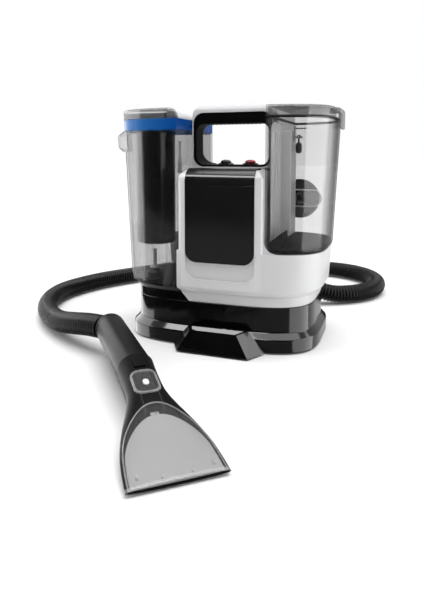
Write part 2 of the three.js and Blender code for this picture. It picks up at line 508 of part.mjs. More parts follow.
// ---------------------------------------------------------------- hose and its elbow
function buildElbow() {
  const centre = [ELBOW.x + ELBOW.radius, 112];
  const arc = Array.from({ length: 9 }, (_, i) => {
    const angle = radians(180 - 82 * i / 8);
    return [centre[0] + ELBOW.radius * Math.cos(angle), centre[1] + ELBOW.radius * Math.sin(angle), ELBOW.z];
  });
  const path = [[ELBOW.x, 95.2, ELBOW.z], [ELBOW.x, 102, ELBOW.z], ...arc, [10, 159.4, ELBOW.z]];
  const bore = [[ELBOW.x, 80, ELBOW.z], [ELBOW.x, 102, ELBOW.z], ...arc, [24, 161.4, ELBOW.z]];
  add('hose_elbow', cut(sweep(path, ELBOW.outer, 16, 14), sweep(bore, ELBOW.inner, 12, 14)), satinBlack());
  const gland = cut(alongY(roundedRectangle(62, 34, 84, 50, 7), 93, 101), alongY(roundedRectangle(69, 38, 77, 46,
    3.9), 90, 110));
  add('power_cord_gland', cut(gland, bowedLoft([[WAIST.halfX + GAP, WAIST.halfY + GAP, 20],
    [WAIST.halfX + GAP, WAIST.halfY + GAP, 70]])), softBlack());
}

const hoseRoute = [[14, 160, 46.5], [40, 164, 43], [68, 170, 35], [96, 178, 24.5], [122, 188, 17.5], [150, 206, 16],
  [173, 232, 16], [187, 264, 16], [190, 302, 16], [180, 342, 16], [157, 377, 16], [122, 402, 16], [82, 413, 16],
  [24, 412, 16], [-42, 400, 16], [-120, 370, 16], [-192, 326, 16], [-253, 271, 16], [-299, 210, 16],
  [-330, 155, 16], [-348, 101, 16], [-354, 50, 16], [-345, 4, 16], [-325, -38, 16], [-297, -75, 16.5],
  [-264, -106, 18.5], [-230, -131, 23], [-195, -150, 30], [-165, -163, 35.5], [-138, -172.8, 38]];

function buildHose() {
  add('suction_hose', sweep(hoseRoute, HOSE.radius, HOSE.sides, HOSE.steps), softBlack());
}

// ---------------------------------------------------------------- handpiece
// Each frame has its origin at the seam between grip and tool, +X towards the nozzle and +Z up.
function handpieceFrame(slope) {
  const frame = new THREE.Group();
  frame.position.set(SEAM.x, SEAM.y, SEAM.z);
  frame.rotation.set(0, radians(slope), radians(SEAM.heading), 'ZYX');
  machine.add(frame);
  return frame;
}

// A rounded cross-section across X, from its half width and its top and bottom heights.
function section(x, half, bottom, top, count = 20, power = 2.5) {
  const mid = (top + bottom) / 2;
  const tall = (top - bottom) / 2;
  return Array.from({ length: count }, (_, i) => {
    const t = 2 * Math.PI * i / count;
    return new THREE.Vector3(x, half * signedPower(Math.cos(t), 2 / power),
      mid + tall * signedPower(Math.sin(t), 2 / power));
  });
}

const gripSection = (x, inset) => section(x, GRIP.radius - inset - 0.006 * -x, -(GRIP.radius - inset),
  GRIP.radius - inset, 20, 2.2);

function buildGrip() {
  const frame = handpieceFrame(GRIP.slope);
  const outer = loft([gripSection(-GRIP.length, 0), gripSection(-60, 0), gripSection(-0.3, 0)]);
  const bore = loft([gripSection(-GRIP.length - 5, 3), gripSection(5, 3)]);
  const slot = block(-112, -8, -30, -20, 8, -8);
  const shell = cut(outer, bore, slot);
  const upper = block(-FAR, -50, GAP / 2, FAR, 50, 60);
  const lower = block(-FAR, -50, -60, FAR, 50, -GAP / 2);
  add('grip_upper_shell', common(shell, upper), satinBlack(), frame);
  add('grip_lower_shell', common(shell, lower), satinBlack(), frame);
  const trigger = alongY([[-104, -18], [-104, -27], [-96, -31], [-60, -32], [-34, -28], [-27, -21], [-27, -15],
    [-34, -13.5], [-60, -16.8]].map(([x, z]) => new THREE.Vector2(x, z)), -7.2, 7.2);
  add('spray_trigger', trigger, softBlack(), frame);
  const valve = join(block(-92, -8, -9.5, -62, 8, 4), alongX(roundedRectangle(-4, -5, 4, 3, 3.5, 3), -118, -30));
  add('spray_valve', valve, steel(), frame);

  const collar = loft([section(-GRIP.length - 14, 17.6, -17.6, 17.6, 20, 2), section(-GRIP.length - 9, 19.2, -19.2,
    19.2, 20, 2), section(-GRIP.length - 0.3, 19.6, -19.6, 19.6, 20, 2)]);
  const hoseRoom = sweep(hoseRoute, HOSE.radius + GAP, 16, HOSE.steps);
  const hoseRoomHere = hoseRoom.clone().applyMatrix4(new THREE.Matrix4().compose(frame.position,
    new THREE.Quaternion().setFromEuler(frame.rotation), new THREE.Vector3(1, 1, 1)).invert());
  const throat = loft([section(-GRIP.length - 20, 13, -13, 13, 20, 2), section(10 - GRIP.length, 13, -13, 13, 20, 2)]);
  add('hose_collar', cut(collar, hoseRoomHere, throat), satinBlack(), frame);
}

const toolShape = [[-5, 20, -19.5, 19], [22, 19, -18, 17.5], [48, 20, -15, 15.5], [72, 27, -11, 13],
  [98, 36, -7, 10.5], [124, 42, -4, 8.5], [TOOL.length, TOOL.lipHalf, -1, 6.5]];

function buildTool() {
  const frame = handpieceFrame(TOOL.slope);
  const rings = (grow) => toolShape.map(([x, half, bottom, top]) => section(x, half - grow, bottom + grow,
    top - grow, 20, 2.6));
  const outer = loft(rings(0));
  const inner = toolShape.map(([x, half, bottom, top], k) => section(k > 5 ? x + 3 : (k ? x : -8), half - 2.2,
    bottom + 1.6, top - 1.6, 20, 2.6));
  const gripEnd = block(-FAR, -FAR, -FAR, GAP, FAR, FAR).rotateY(radians(GRIP.slope - TOOL.slope));
  const shell = cut(outer, loft(inner), gripEnd);
  // The window is the clear front half of the upper skin; the body is the rest of it.
  const windowLine = prism([[70, 0], [74, -14], [86, -24], [110, -33], [170, -41], [170, 41], [110, 33], [86, 24],
    [74, 14]].map(([x, y]) => new THREE.Vector2(x, y)), 2.4, 60);
  const windowRoom = prism([[69.6, 0], [73.7, -14.3], [85.8, -24.4], [110, -33.4], [170, -41.4], [170, 41.4],
    [110, 33.4], [85.8, 24.4], [73.7, 14.3]].map(([x, y]) => new THREE.Vector2(x, y)), 2.1, 60);
  const buttonWell = block(3.4, -6.3, 10, 18.6, 6.3, 30);
  add('spray_tool_body', cut(shell, windowRoom, buttonWell), satinBlack(), frame);
  add('nozzle_window', common(shell, windowLine), clear(), frame);
  const button = join(block(4, -5.6, 12.6, 18, 5.6, 19.6), block(6, -8.6, 11.4, 16, 8.6, 13.6));
  add('tool_release_button', button, satinBlack(), frame);
  const jet = join(block(76, -4, 1, 96, 4, 7), block(94, -9, 2, 98, 9, 5));
  add('spray_jet', jet, steel(), frame);
}

buildBase();
buildFrontLip();
buildBody();
buildHandle();
buildControls();
buildWorks();
buildCleanSeat();
buildCleanTank();
buildDirtyTank();
buildElbow();
buildHose();
buildGrip();
buildTool();

export default machine;
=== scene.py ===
"""Looks of a portable spot extractor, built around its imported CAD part. Lengths are in millimetres until
a piece is placed, and places follow the CAD: +X to the machine's right, +Y to its back, +Z up."""

import json
from math import copysign, cos, pi, radians, sin
from types import SimpleNamespace as Sizes

import bmesh
import bpy
from mathutils import Matrix, Vector

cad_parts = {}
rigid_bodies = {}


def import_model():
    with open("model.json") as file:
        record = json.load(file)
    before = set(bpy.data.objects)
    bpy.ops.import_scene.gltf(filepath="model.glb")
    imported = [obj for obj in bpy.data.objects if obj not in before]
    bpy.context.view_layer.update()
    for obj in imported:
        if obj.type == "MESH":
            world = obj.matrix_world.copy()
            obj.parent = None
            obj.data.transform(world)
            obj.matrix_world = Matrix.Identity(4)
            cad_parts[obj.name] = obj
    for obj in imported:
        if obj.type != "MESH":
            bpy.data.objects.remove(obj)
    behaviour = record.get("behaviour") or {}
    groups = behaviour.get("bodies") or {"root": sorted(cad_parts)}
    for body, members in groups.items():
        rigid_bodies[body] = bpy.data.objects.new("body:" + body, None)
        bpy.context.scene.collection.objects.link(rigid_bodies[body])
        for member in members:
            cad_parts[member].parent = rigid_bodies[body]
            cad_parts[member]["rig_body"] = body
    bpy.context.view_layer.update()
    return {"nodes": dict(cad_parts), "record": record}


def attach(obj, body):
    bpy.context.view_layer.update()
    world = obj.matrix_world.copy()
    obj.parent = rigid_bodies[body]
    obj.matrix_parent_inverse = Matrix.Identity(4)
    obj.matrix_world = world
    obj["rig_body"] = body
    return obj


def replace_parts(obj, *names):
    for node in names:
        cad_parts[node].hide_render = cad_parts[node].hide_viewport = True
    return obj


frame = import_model()
scene = bpy.context.scene
scene.view_settings.view_transform = "Standard"
MM = 0.001

# ---- dimensions shared with the CAD
OUTLINE_X = -12.5
OUTLINE_POWER = 3.8
GAP = 0.3
FLANGE = Sizes(half_x=141, half_y=102.5)
WAIST = Sizes(half_x=133, half_y=94.5)
BASE_SEAT = Sizes(half_x=136.3, half_y=97.8, top=3.5)
BODY = Sizes(skirt_top=76, bottom=83, low_half=144, top_half=147.5, half_y=99.5, top=134)
TOWER = Sizes(half=61.5, front=-99.5, back=97, top=247, edge=20)
PANEL = Sizes(half=49.5, bottom=118, thick=2.6, proud=0.8, back=-62, corner=16)
POCKET = Sizes(bottom=94, depth=3.8, corner=17)
HANDLE = Sizes(half=60.5, top=338.5, front=-42, back=-12, corner=18)
DECK = Sizes(back=26, top=253.5, ramp_top=268)
HAND_GAP = Sizes(half=54.5, bottom=251.5, top=311, corner=13)
LINING = Sizes(half=58.6, bottom=249.2, top=326.5, corner=15)
TANK = Sizes(low=80.2, top=331, low_half=146.2, top_half=158, half_y=97.5, wall=2.4)
CLEAN = Sizes(inner=-62.8, back=66, band_low=301, band_high=316.5, lid_back=-60, strip_x=-80,
              strip_y=-89, axis_x=-116, axis_y=-57)
DIRTY = Sizes(inner=62.8, bottom=135, corner=15, lid_low=316)
BUTTON = Sizes(x=19, y=-10)
FLOAT_X = 88.5
SPLIT_Y = 20                                     # where the two halves of the body meet
GRILLE = Sizes(half=30, low=150, high=190)
PORT = Sizes(face=72, low_x=48, high_x=113, low_z=184, high_z=212)
SLANT = Sizes(low_x=-45, high_x=-62.2, low_z=61, high_z=80)
ELBOW = Sizes(x=-48, z=46.5, radius=46, bore=13, wall=18.5)
SEAM = Sizes(x=-28.5, y=-287.5, z=36, heading=-49.4)
TOOL = Sizes(start=-5, end=158, slope=12.7, power=2.6)
GRIP = Sizes(length=141, slope=1, radius=19.5, power=2.2)
HOSE_RADIUS = 15.5
FAR = 400


# ---- camera
CAMERA = Sizes(azimuth=19.63, pitch=5.5, lens=32.3, shift=-0.1536, at=(0.23393, -0.78169, 0.26439))


def make_camera():
    azimuth, pitch = radians(CAMERA.azimuth), radians(CAMERA.pitch)
    ahead = Vector((-sin(azimuth) * cos(pitch), cos(azimuth) * cos(pitch), -sin(pitch)))
    data = bpy.data.cameras.new("camera")
    data.sensor_width = 36
    data.lens = CAMERA.lens
    data.shift_y = CAMERA.shift
    data.clip_end = 50
    camera = bpy.data.objects.new("camera", data)
    camera.location = CAMERA.at
    camera.rotation_mode = "QUATERNION"
    camera.rotation_quaternion = ahead.to_track_quat("-Z", "Y")
    scene.collection.objects.link(camera)
    scene.camera = camera


# ---- material building
def add_node(tree, kind, settings=(), **sockets):
    node = tree.nodes.new(kind)
    for key, value in dict(settings).items():
        setattr(node, key, value)
    for key, value in sockets.items():
        socket = node.inputs[int(key[1:]) if key[0] == "i" and key[1:].isdigit() else key.replace("_", " ")]
        if isinstance(value, bpy.types.NodeSocket):
            tree.links.new(value, socket)
        else:
            socket.default_value = value
    return node


def new_tree(name):
    material = bpy.data.materials.new(name)
    material.use_nodes = True
    material.node_tree.nodes.clear()
    return material, material.node_tree


def rgba(color):
    return (*color, 1.0)


def ranged(tree, value, start, end, low, high, **settings):
    """The value, taken from start to end, laid out from low to high."""
    return add_node(tree, "ShaderNodeMapRange", settings, Value=value, From_Min=start, From_Max=end,
                    To_Min=low, To_Max=high).outputs[0]


def spread(tree, value, low, high):
    """A noise value, which mostly lies from 0.3 to 0.7, laid out from low to high."""
    return ranged(tree, value, 0.3, 0.7, low, high)


def blend_colors(tree, factor, a, b):
    return add_node(tree, "ShaderNodeMix", {"data_type": "RGBA"}, i0=factor, i6=a, i7=b).outputs[2]


def noise(tree, scale, detail=3.0, where=None, stretch=None):
    place = where or add_node(tree, "ShaderNodeTexCoord").outputs["Object"]
    if stretch:
        place = add_node(tree, "ShaderNodeMapping", Vector=place, Scale=stretch).outputs[0]
    return add_node(tree, "ShaderNodeTexNoise", Vector=place, Scale=scale, Detail=detail).outputs[0]


def plastic(name, color, rough, swing=0.05, grain=0.15, grain_scale=1800, tone=0.06, level=0.5, coat=0.0,
            painted_edge_highlight=0.0, metallic=0.0):
    """Moulded plastic: fine surface grain, slow changes of gloss and tone, and a painted highlight that
    lightens the colour along sharp convex edges.
    """
    material, tree = new_tree(name)
    slow = noise(tree, 14)
    smudge = noise(tree, 95, 5)
    roughness = add_node(tree, "ShaderNodeMath", {"operation": "ADD"}, i0=spread(tree, slow, rough - swing,
                         rough + swing), i1=spread(tree, smudge, -swing / 2, swing / 2)).outputs[0]
    dark = tuple(c * (1 - tone) for c in color)
    shade = blend_colors(tree, spread(tree, slow, 0, 1), rgba(dark), rgba(color))
    if painted_edge_highlight:
        # Painted highlight: the colour is lightened where the surface is sharply convex, along edges and
        # tight curves.
        edge = ranged(tree, add_node(tree, "ShaderNodeNewGeometry").outputs["Pointiness"], 0.52, 0.6, 0, painted_edge_highlight)
        shade = blend_colors(tree, edge, shade, rgba(tuple(min(1, c * 1.8 + 0.03) for c in color)))
    bump = add_node(tree, "ShaderNodeBump", Strength=grain, Distance=0.0002,
                    Height=noise(tree, grain_scale, 2))
    shader = add_node(tree, "ShaderNodeBsdfPrincipled", Base_Color=shade, Roughness=roughness,
                      Metallic=metallic, Normal=bump.outputs[0])
    shader.inputs["Specular IOR Level"].default_value = level
    shader.inputs["Coat Weight"].default_value = coat
    shader.inputs["Coat Roughness"].default_value = 0.08
    add_node(tree, "ShaderNodeOutputMaterial", Surface=shader.outputs[0])
    return material


def clear_plastic(name, through, edge, haze, edge_haze, rough=0.05, milky=0.1, glance_max=0.8):
    """A clear wall: what is behind it shows through a tint that deepens where the wall is seen edge on."""
    material, tree = new_tree(name)
    facing = add_node(tree, "ShaderNodeLayerWeight", Blend=0.5).outputs["Facing"]
    steep = add_node(tree, "ShaderNodeMath", {"operation": "POWER"}, i0=facing, i1=5.0).outputs[0]
    tint = blend_colors(tree, steep, rgba(through), rgba(edge))
    see = add_node(tree, "ShaderNodeBsdfTransparent", Color=tint)
    slow = noise(tree, 20)
    bump = add_node(tree, "ShaderNodeBump", Strength=0.05, Distance=0.0004, Height=noise(tree, 60, 2))
    shader = add_node(tree, "ShaderNodeBsdfPrincipled", Base_Color=(0.9, 0.9, 0.9, 1),
                      Roughness=spread(tree, slow, rough * 0.6, rough * 1.4), Normal=bump.outputs[0])
    shader.inputs["Metallic"].default_value = 1 - milky
    # Reflection in the manner of Schlick's rule, held below glance_max; both sides of the wall act alike.
    fresnel = ranged(tree, steep, 0, 1, 0.036, glance_max)
    share = ranged(tree, steep, 0, 1, haze, edge_haze)
    total = add_node(tree, "ShaderNodeMath", {"operation": "ADD", "use_clamp": True}, i0=share,
                     i1=fresnel).outputs[0]
    mix = add_node(tree, "ShaderNodeMixShader", i0=total, i1=see.outputs[0], i2=shader.outputs[0])
    add_node(tree, "ShaderNodeOutputMaterial", Surface=mix.outputs[0])
    return material


def band_plastic():
    """Blue translucent ring with painted light: its colour is painted pale on the left, where the outer light
    comes in, and deeper to the right.
    """
    material, tree = new_tree("blue_band")
    place = add_node(tree, "ShaderNodeTexCoord").outputs["Object"]
    across = add_node(tree, "ShaderNodeSeparateXYZ", Vector=place).outputs[0]
    # Painted light: the colour runs from pale blue on the left, where the outer light falls, to deep blue on
    # the right.
    along = ranged(tree, across, -0.17, -0.065, 0, 1)
    shade = blend_colors(tree, along, (0.02, 0.19, 0.52, 1), (0.001, 0.07, 0.32, 1))
    roughness = spread(tree, noise(tree, 30), 0.22, 0.38)
    shader = add_node(tree, "ShaderNodeBsdfPrincipled", Base_Color=shade, Roughness=roughness)
    shader.inputs["Specular IOR Level"].default_value = 0.12
    add_node(tree, "ShaderNodeOutputMaterial", Surface=shader.outputs[0])
    return material


def brushed(name, color, rough):
    material, tree = new_tree(name)
    streaks = noise(tree, 900, 4, stretch=(1, 1, 0.03))
    shade = blend_colors(tree, spread(tree, streaks, 0, 1), rgba(tuple(c * 0.82 for c in color)), rgba(color))
    bump = add_node(tree, "ShaderNodeBump", Strength=0.12, Distance=0.0002, Height=streaks)
    shader = add_node(tree, "ShaderNodeBsdfPrincipled", Base_Color=shade, Metallic=1.0,
                      Roughness=spread(tree, streaks, rough - 0.08, rough + 0.1), Normal=bump.outputs[0])
    add_node(tree, "ShaderNodeOutputMaterial", Surface=shader.outputs[0])
    return material


def make_looks():
    return {
        # The last amount given to several plastics is the strength of the painted highlight along their sharp
        # convex edges.
        "white": plastic("white_plastic", (0.8, 0.8, 0.81), 0.34, grain=0.1, tone=0.02, painted_edge_highlight=0.3),
        "gloss": plastic("gloss_black", (0.004, 0.004, 0.0043), 0.1, 0.03, 0.02, 900, 0.3, 0.5),
        "panel": plastic("panel_black", (0.011, 0.011, 0.011), 0.13, 0.03, 0.02, 900, 0.3, 0.5),
        "satin": plastic("satin_black", (0.018, 0.018, 0.019), 0.42, 0.05, 0.3, 1500, 0.2, 0.5, painted_edge_highlight=0.4),
        "grip": plastic("grip_black", (0.008, 0.008, 0.0082), 0.36, 0.03, 0.08, 1700, 0.2, 0.04, painted_edge_highlight=0.03),
        "lining": plastic("lining_black", (0.005, 0.005, 0.005), 0.4, 0.05, 0.15, 1600, 0.2, 0.015, painted_edge_highlight=0.1),
        "rubber": plastic("black_rubber", (0.02, 0.02, 0.021), 0.6, 0.08, 0.5, 1100, 0.25, 0.4, painted_edge_highlight=0.3),
        "hose": plastic("hose_plastic", (0.004, 0.004, 0.0041), 0.27, 0.03, 0.04, 1400, 0.25, 0.2, painted_edge_highlight=0.02),
        "smoky": clear_plastic("smoky_clear", (0.885,) * 3, (0.05,) * 3, 0.001, 0.01, glance_max=0.25),
        "lid": clear_plastic("smoky_lid", (0.9,) * 3, (0.06,) * 3, 0.002, 0.01, glance_max=0.25),
        "clear": clear_plastic("clear", (0.8,) * 3, (0.05,) * 3, 0.001, 0.01, glance_max=0.25),
        "hazy": clear_plastic("hazy_clear", (0.95,) * 3, (0.8,) * 3, 0.7, 0.7, 0.1, 0.95, 0.3),
        "duct": clear_plastic("duct_clear", (0.9,) * 3, (0.1,) * 3, 0.75, 0.0, 0.1, 0.95, 0.1),
        "crystal": clear_plastic("crystal", (0.98,) * 3, (0.7,) * 3, 0.004, 0.2, 0.06, 0.5),
        "milky": clear_plastic("milky_clear", (0.93,) * 3, (0.6,) * 3, 0.16, 0.4, 0.1, 0.9),
        "cap": plastic("milky_cap", (0.82, 0.83, 0.84), 0.35, grain=0.08, tone=0.03),
        "blue": band_plastic(),
        "dark_button": plastic("dark_button", (0.03, 0.03, 0.032), 0.25, grain=0.1),
        "red_button": plastic("red_button", (0.85, 0.035, 0.06), 0.25, grain=0.08),
        "plate": plastic("nozzle_plate", (0.36, 0.36, 0.36), 0.32, 0.04, 0.08, 1500, 0.04),
        "steel": brushed("steel", (0.72, 0.73, 0.75), 0.28),
        "copper": brushed("heater_metal", (0.62, 0.33, 0.17), 0.38),
        "board": plastic("board_green", (0.02, 0.12, 0.06), 0.35, 0.06, 0.3, 700, 0.3),
    }


# ---- outlines
def signed_power(value, power):
    return copysign(abs(value) ** power, value)


def circle(sides, shift=0):
    """The angles of evenly spaced points round a circle."""
    return [2 * pi * (i + shift) / sides for i in range(sides)]


def round_outline(x, z, radius, sides=32):
    return [(x + radius * cos(a), z + radius * sin(a)) for a in circle(sides)]


def bowed(half_x, half_y, count=288):
    """The bowed outline, with its points evenly spaced along it so that it shades as one smooth wall."""
    turns = [2 * pi * i / 1440 for i in range(1441)]
    fine = [Vector((half_x * signed_power(cos(t), 2 / OUTLINE_POWER),
                    half_y * signed_power(sin(t), 2 / OUTLINE_POWER))) for t in turns]
    total = sum((b - a).length for a, b in zip(fine, fine[1:]))
    points, walked = [], 0.0
    for a, b in zip(fine, fine[1:]):
        length = (b - a).length
        while len(points) < count and len(points) * total / count <= walked + length:
            points.append(a.lerp(b, (len(points) * total / count - walked) / length))
        walked += length
    return [(OUTLINE_X + point.x, point.y) for point in points]


def rounded(x0, y0, x1, y1, radii, steps=12):
    """A rectangle whose corners, from (x0, y0) counter-clockwise, have the given radii."""
    r = radii if isinstance(radii, (list, tuple)) else [radii] * 4
    corners = [(x0 + r[0], y0 + r[0], 180), (x1 - r[1], y0 + r[1], 270), (x1 - r[2], y1 - r[2], 0),
               (x0 + r[3], y1 - r[3], 90)]
    points = []
    for (cx, cy, start), radius in zip(corners, r):
        angles = [radians(start + 90 * i / steps) for i in range(steps + 1)] if radius else [0]
        points += [(cx + radius * cos(a), cy + radius * sin(a)) for a in angles]
    return points


def section(x, half, bottom, top, count=64, power=2.5):
    """A rounded cross-section at x of the handpiece."""
    middle, tall = (top + bottom) / 2, (top - bottom) / 2
    return [Vector((x, half * signed_power(cos(t), 2 / power),
                    middle + tall * signed_power(sin(t), 2 / power))) for t in circle(count)]


# ---- solids
workshop = bpy.data.collections.new("workshop")
scene.collection.children.link(workshop)


def solid(points, faces):
    mesh = bpy.data.meshes.new("blank")
    mesh.from_pydata([tuple(p) for p in points], [], faces)
    work = bmesh.new()
    work.from_mesh(mesh)
    bmesh.ops.remove_doubles(work, verts=work.verts, dist=1e-4)
    bmesh.ops.recalc_face_normals(work, faces=work.faces)
    work.to_mesh(mesh)
    work.free()
    made = bpy.data.objects.new("blank", mesh)
    workshop.objects.link(made)
    return made


def loft(rings, closed=False):
    """A skin through rings with the same number of points, with flat ends unless it closes on itself."""
    count, last = len(rings[0]), len(rings) - 1
    points = [p for r in rings for p in r]
    faces = []
    for k in range(last + closed):
        low, high = k * count, (k + 1) % len(rings) * count
        faces += [(low + i, low + (i + 1) % count, high + (i + 1) % count, high + i) for i in range(count)]
    if not closed:
        faces += [tuple(reversed(range(count))), tuple(range(last * count, (last + 1) * count))]
    return solid(points, faces)


def level(points, z):
    return [(x, y, z) for x, y in points]


def bowed_loft(levels):
    return loft([level(bowed(half_x, half_y), z) for half_x, half_y, z in levels])


def stepped(half_x, half_y, steps):
    """Levels of a bowed loft from (inset, height) pairs."""
    return [(half_x - inset, half_y - inset, z) for inset, z in steps]


def prism(points, low, high):
    return loft([level(points, low), level(points, high)])


def along_y(points, low, high):
    return loft([[(x, y, z) for x, z in points] for y in (low, high)])


def along_x(points, low, high):
    return loft([[(x, y, z) for y, z in points] for x in (low, high)])


def block(x0, y0, z0, x1, y1, z1):
    return prism([(x0, y0), (x1, y0), (x1, y1), (x0, y1)], z0, z1)


def turned(profile, x=0, y=0, sides=64):
    """A solid turned about a vertical axis at x, y from (radius, height) pairs. It is a ring where they don't
    start on the axis."""
    inner = [p for p in profile if p[0] > 1e-6]
    rings = [[(x + r * cos(a), y + r * sin(a), z) for a in circle(sides)] for r, z in inner]
    return loft(rings, closed=profile[0][0] > 1e-6)


def ring(inner, outer, low, high, x=0, y=0, sides=64):
    return turned([(inner, low), (outer, low), (outer, high), (inner, high)], x, y, sides)


def disc(radius, low, high, x=0, y=0, sides=64):
    return turned([(0, low), (radius, low), (radius, high), (0, high)], x, y, sides)


def combine(operation, base, *tools):
    for tool in tools:
        step = base.modifiers.new("step", "BOOLEAN")
        step.operation, step.object, step.solver = operation, tool, "MANIFOLD"
    bpy.context.view_layer.update()
    done = bpy.data.meshes.new_from_object(base.evaluated_get(bpy.context.evaluated_depsgraph_get()))
    base.modifiers.clear()
    made = bpy.data.objects.new("blank", done)
    workshop.objects.link(made)
    return made


def join(base, *tools):
    return combine("UNION", base, *tools)


def cut(base, *tools):
    return combine("DIFFERENCE", base, *tools)


def common(base, *tools):
    return combine("INTERSECT", base, *tools)


def right_of(x):
    return block(x, -FAR, -FAR, FAR, FAR, FAR)


def behind(y):
    return block(-FAR, y, -FAR, FAR, FAR, FAR)


def before(y):
    return block(-FAR, -FAR, -FAR, FAR, y, FAR)


# ---- smooth routes
def smooth_route(points, per_span):
    """Points along a centripetal Catmull-Rom curve, as the CAD lays its hose."""
    knots = [Vector(p) for p in points]
    knots = [2 * knots[0] - knots[1], *knots, 2 * knots[-1] - knots[-2]]
    route = []
    for a, b, c, d in zip(knots, knots[1:], knots[2:], knots[3:]):
        t0, t1 = 0, (b - a).length ** 0.5
        t2 = t1 + (c - b).length ** 0.5
        t3 = t2 + (d - c).length ** 0.5
        for i in range(per_span):
            t = t1 + (t2 - t1) * i / per_span
            a1 = a.lerp(b, (t - t0) / (t1 - t0))
            a2 = b.lerp(c, (t - t1) / (t2 - t1))
            a3 = c.lerp(d, (t - t2) / (t3 - t2))
            b1 = a1.lerp(a2, (t - t0) / (t2 - t0))
            b2 = a2.lerp(a3, (t - t1) / (t3 - t1))
            route.append(b1.lerp(b2, (t - t1) / (t2 - t1)))
    return route + [knots[-2]]


def even_route(route, step):
    """The same route with its points a whole number of even steps apart."""
    lengths = [(b - a).length for a, b in zip(route, route[1:])]
    count = round(sum(lengths) / step)
    pitch, even, walked, k = sum(lengths) / count, [route[0]], 0.0, 0
    for i in range(1, count):
        while walked + lengths[k] < i * pitch:
            walked += lengths[k]
            k += 1
        even.append(route[k].lerp(route[k + 1], (i * pitch - walked) / lengths[k]))
    return even + [route[-1]]


def tube(route, radii, sides=28):
    """A tube along a route, whose radius at each point is the matching entry of radii."""
    side = Vector((0, 0, 1)).cross(route[1] - route[0]).normalized()
    rings = []
    for k, point in enumerate(route):
        ahead = (route[min(k + 1, len(route) - 1)] - route[max(k - 1, 0)]).normalized()
        side = (side - ahead * side.dot(ahead)).normalized()
        up = ahead.cross(side)
        rings.append([point + radii[k] * (side * cos(t) + up * sin(t)) for t in circle(sides, 0.5)])
    return loft(rings)


# ---- pieces
SLOTS = {entry["node"]: entry["material_slot"] for entry in frame["record"]["subparts"]}


def round_edges(made, bevel, segments, angle=33):
    made.data.shade_smooth()
    if bevel:
        soft = made.modifiers.new("soft_edges", "BEVEL")
        soft.width, soft.segments, soft.limit_method = bevel * MM, segments, "ANGLE"
        soft.angle_limit, soft.harden_normals = radians(angle), False
    made.modifiers.new("even_shading", "WEIGHTED_NORMAL").keep_sharp = False


def place(name, shape, look, body, slot, bevel=0.5, segments=2, frame_matrix=None):
    mesh = shape.data.copy()
    mesh.name = name
    if frame_matrix:
        mesh.transform(frame_matrix)
    mesh.transform(Matrix.Scale(MM, 4))
    work = bmesh.new()
    work.from_mesh(mesh)
    bmesh.ops.remove_doubles(work, verts=work.verts, dist=2e-6)
    bmesh.ops.dissolve_limit(work, angle_limit=0.002, verts=work.verts, edges=work.edges)
    work.to_mesh(mesh)
    work.free()
    mesh.materials.clear()
    mesh.materials.append(LOOKS[look])
    made = bpy.data.objects.new(name, mesh)
    scene.collection.objects.link(made)
    round_edges(made, bevel, segments)
    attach(made, body)
    return made


def stand_for(node, shape, look, bevel=0.5, segments=2, frame_matrix=None):
    """A detailed piece shown in place of a CAD node."""
    made = place(f"{node}_look", shape, look, frame["nodes"][node]["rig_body"], SLOTS[node], bevel, segments,
                 frame_matrix)
    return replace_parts(made, node)


def keep(node, look, bevel=0.5, segments=2):
    """A CAD node that stays shown, with soft edges and a better material."""
    made = frame["nodes"][node]
    made.data.materials.clear()
    made.data.materials.append(LOOKS[look])
    round_edges(made, bevel, segments)


# ---- base, feet and lip
def build_base():
    flange = [(1.4, 0.6), (0.4, 1.3), (0, 2.6), (0, 17.6), (0.3, 18.9), (1.2, 19.9)]
    waist = [(-1.6, 25.9), (-0.5, 27), (0, 28.6), (0, 60.2), (0.8, 61)]
    outer = bowed_loft(stepped(FLANGE.half_x, FLANGE.half_y, flange)
                       + stepped(WAIST.half_x, WAIST.half_y, waist))
    seat = bowed_loft(stepped(BASE_SEAT.half_x, BASE_SEAT.half_y, [(0, -5), (0, BASE_SEAT.top)]))
    bore = ELBOW.bore
    outlet = along_y(rounded(ELBOW.x - bore, ELBOW.z - bore, ELBOW.x + bore, ELBOW.z + bore,
                             bore - 0.1), 80, 120)
    stand_for("base_shell", cut(outer, seat, outlet), "gloss", 0)
    keep("base_plate", "satin", 0.4)
    for corner in ("front_left", "front_right", "rear_left", "rear_right"):
        keep(f"foot_pad_{corner}", "rubber", 0.8)
    keep("front_lip", "gloss", 0.9, 3)


# ---- white body
def slant_shape(shift):
    return [(SLANT.low_x + shift, SLANT.low_z - 10), (SLANT.low_x + shift, SLANT.low_z),
            (SLANT.high_x + shift, SLANT.high_z), (SLANT.high_x + shift, FAR), (FAR, FAR),
            (FAR, SLANT.low_z - 10)]


def bowed_column(half_y):
    """The whole height of the bowed outline, which the front of the tower and its panel follow."""
    return bowed_loft([(BODY.top_half, half_y, 0), (BODY.top_half, half_y, 340)])


def tower_block(inset):
    half, top = TOWER.half - inset, TOWER.top - inset
    front, back = TOWER.front + inset, TOWER.back - inset
    edge = TOWER.edge - inset
    face_on = along_y(rounded(-half, 40, half, top, [0, 0, edge, edge]), -130, 130)
    side_on = along_x(rounded(front, 40, back, top, [0, 0, edge, edge]), -90, 90)
    plan = prism(rounded(-half, front, half, back, max(8 - inset, 3)), BODY.bottom + inset, top + 10)
    return common(face_on, side_on, plan, bowed_column(BODY.half_y - inset))


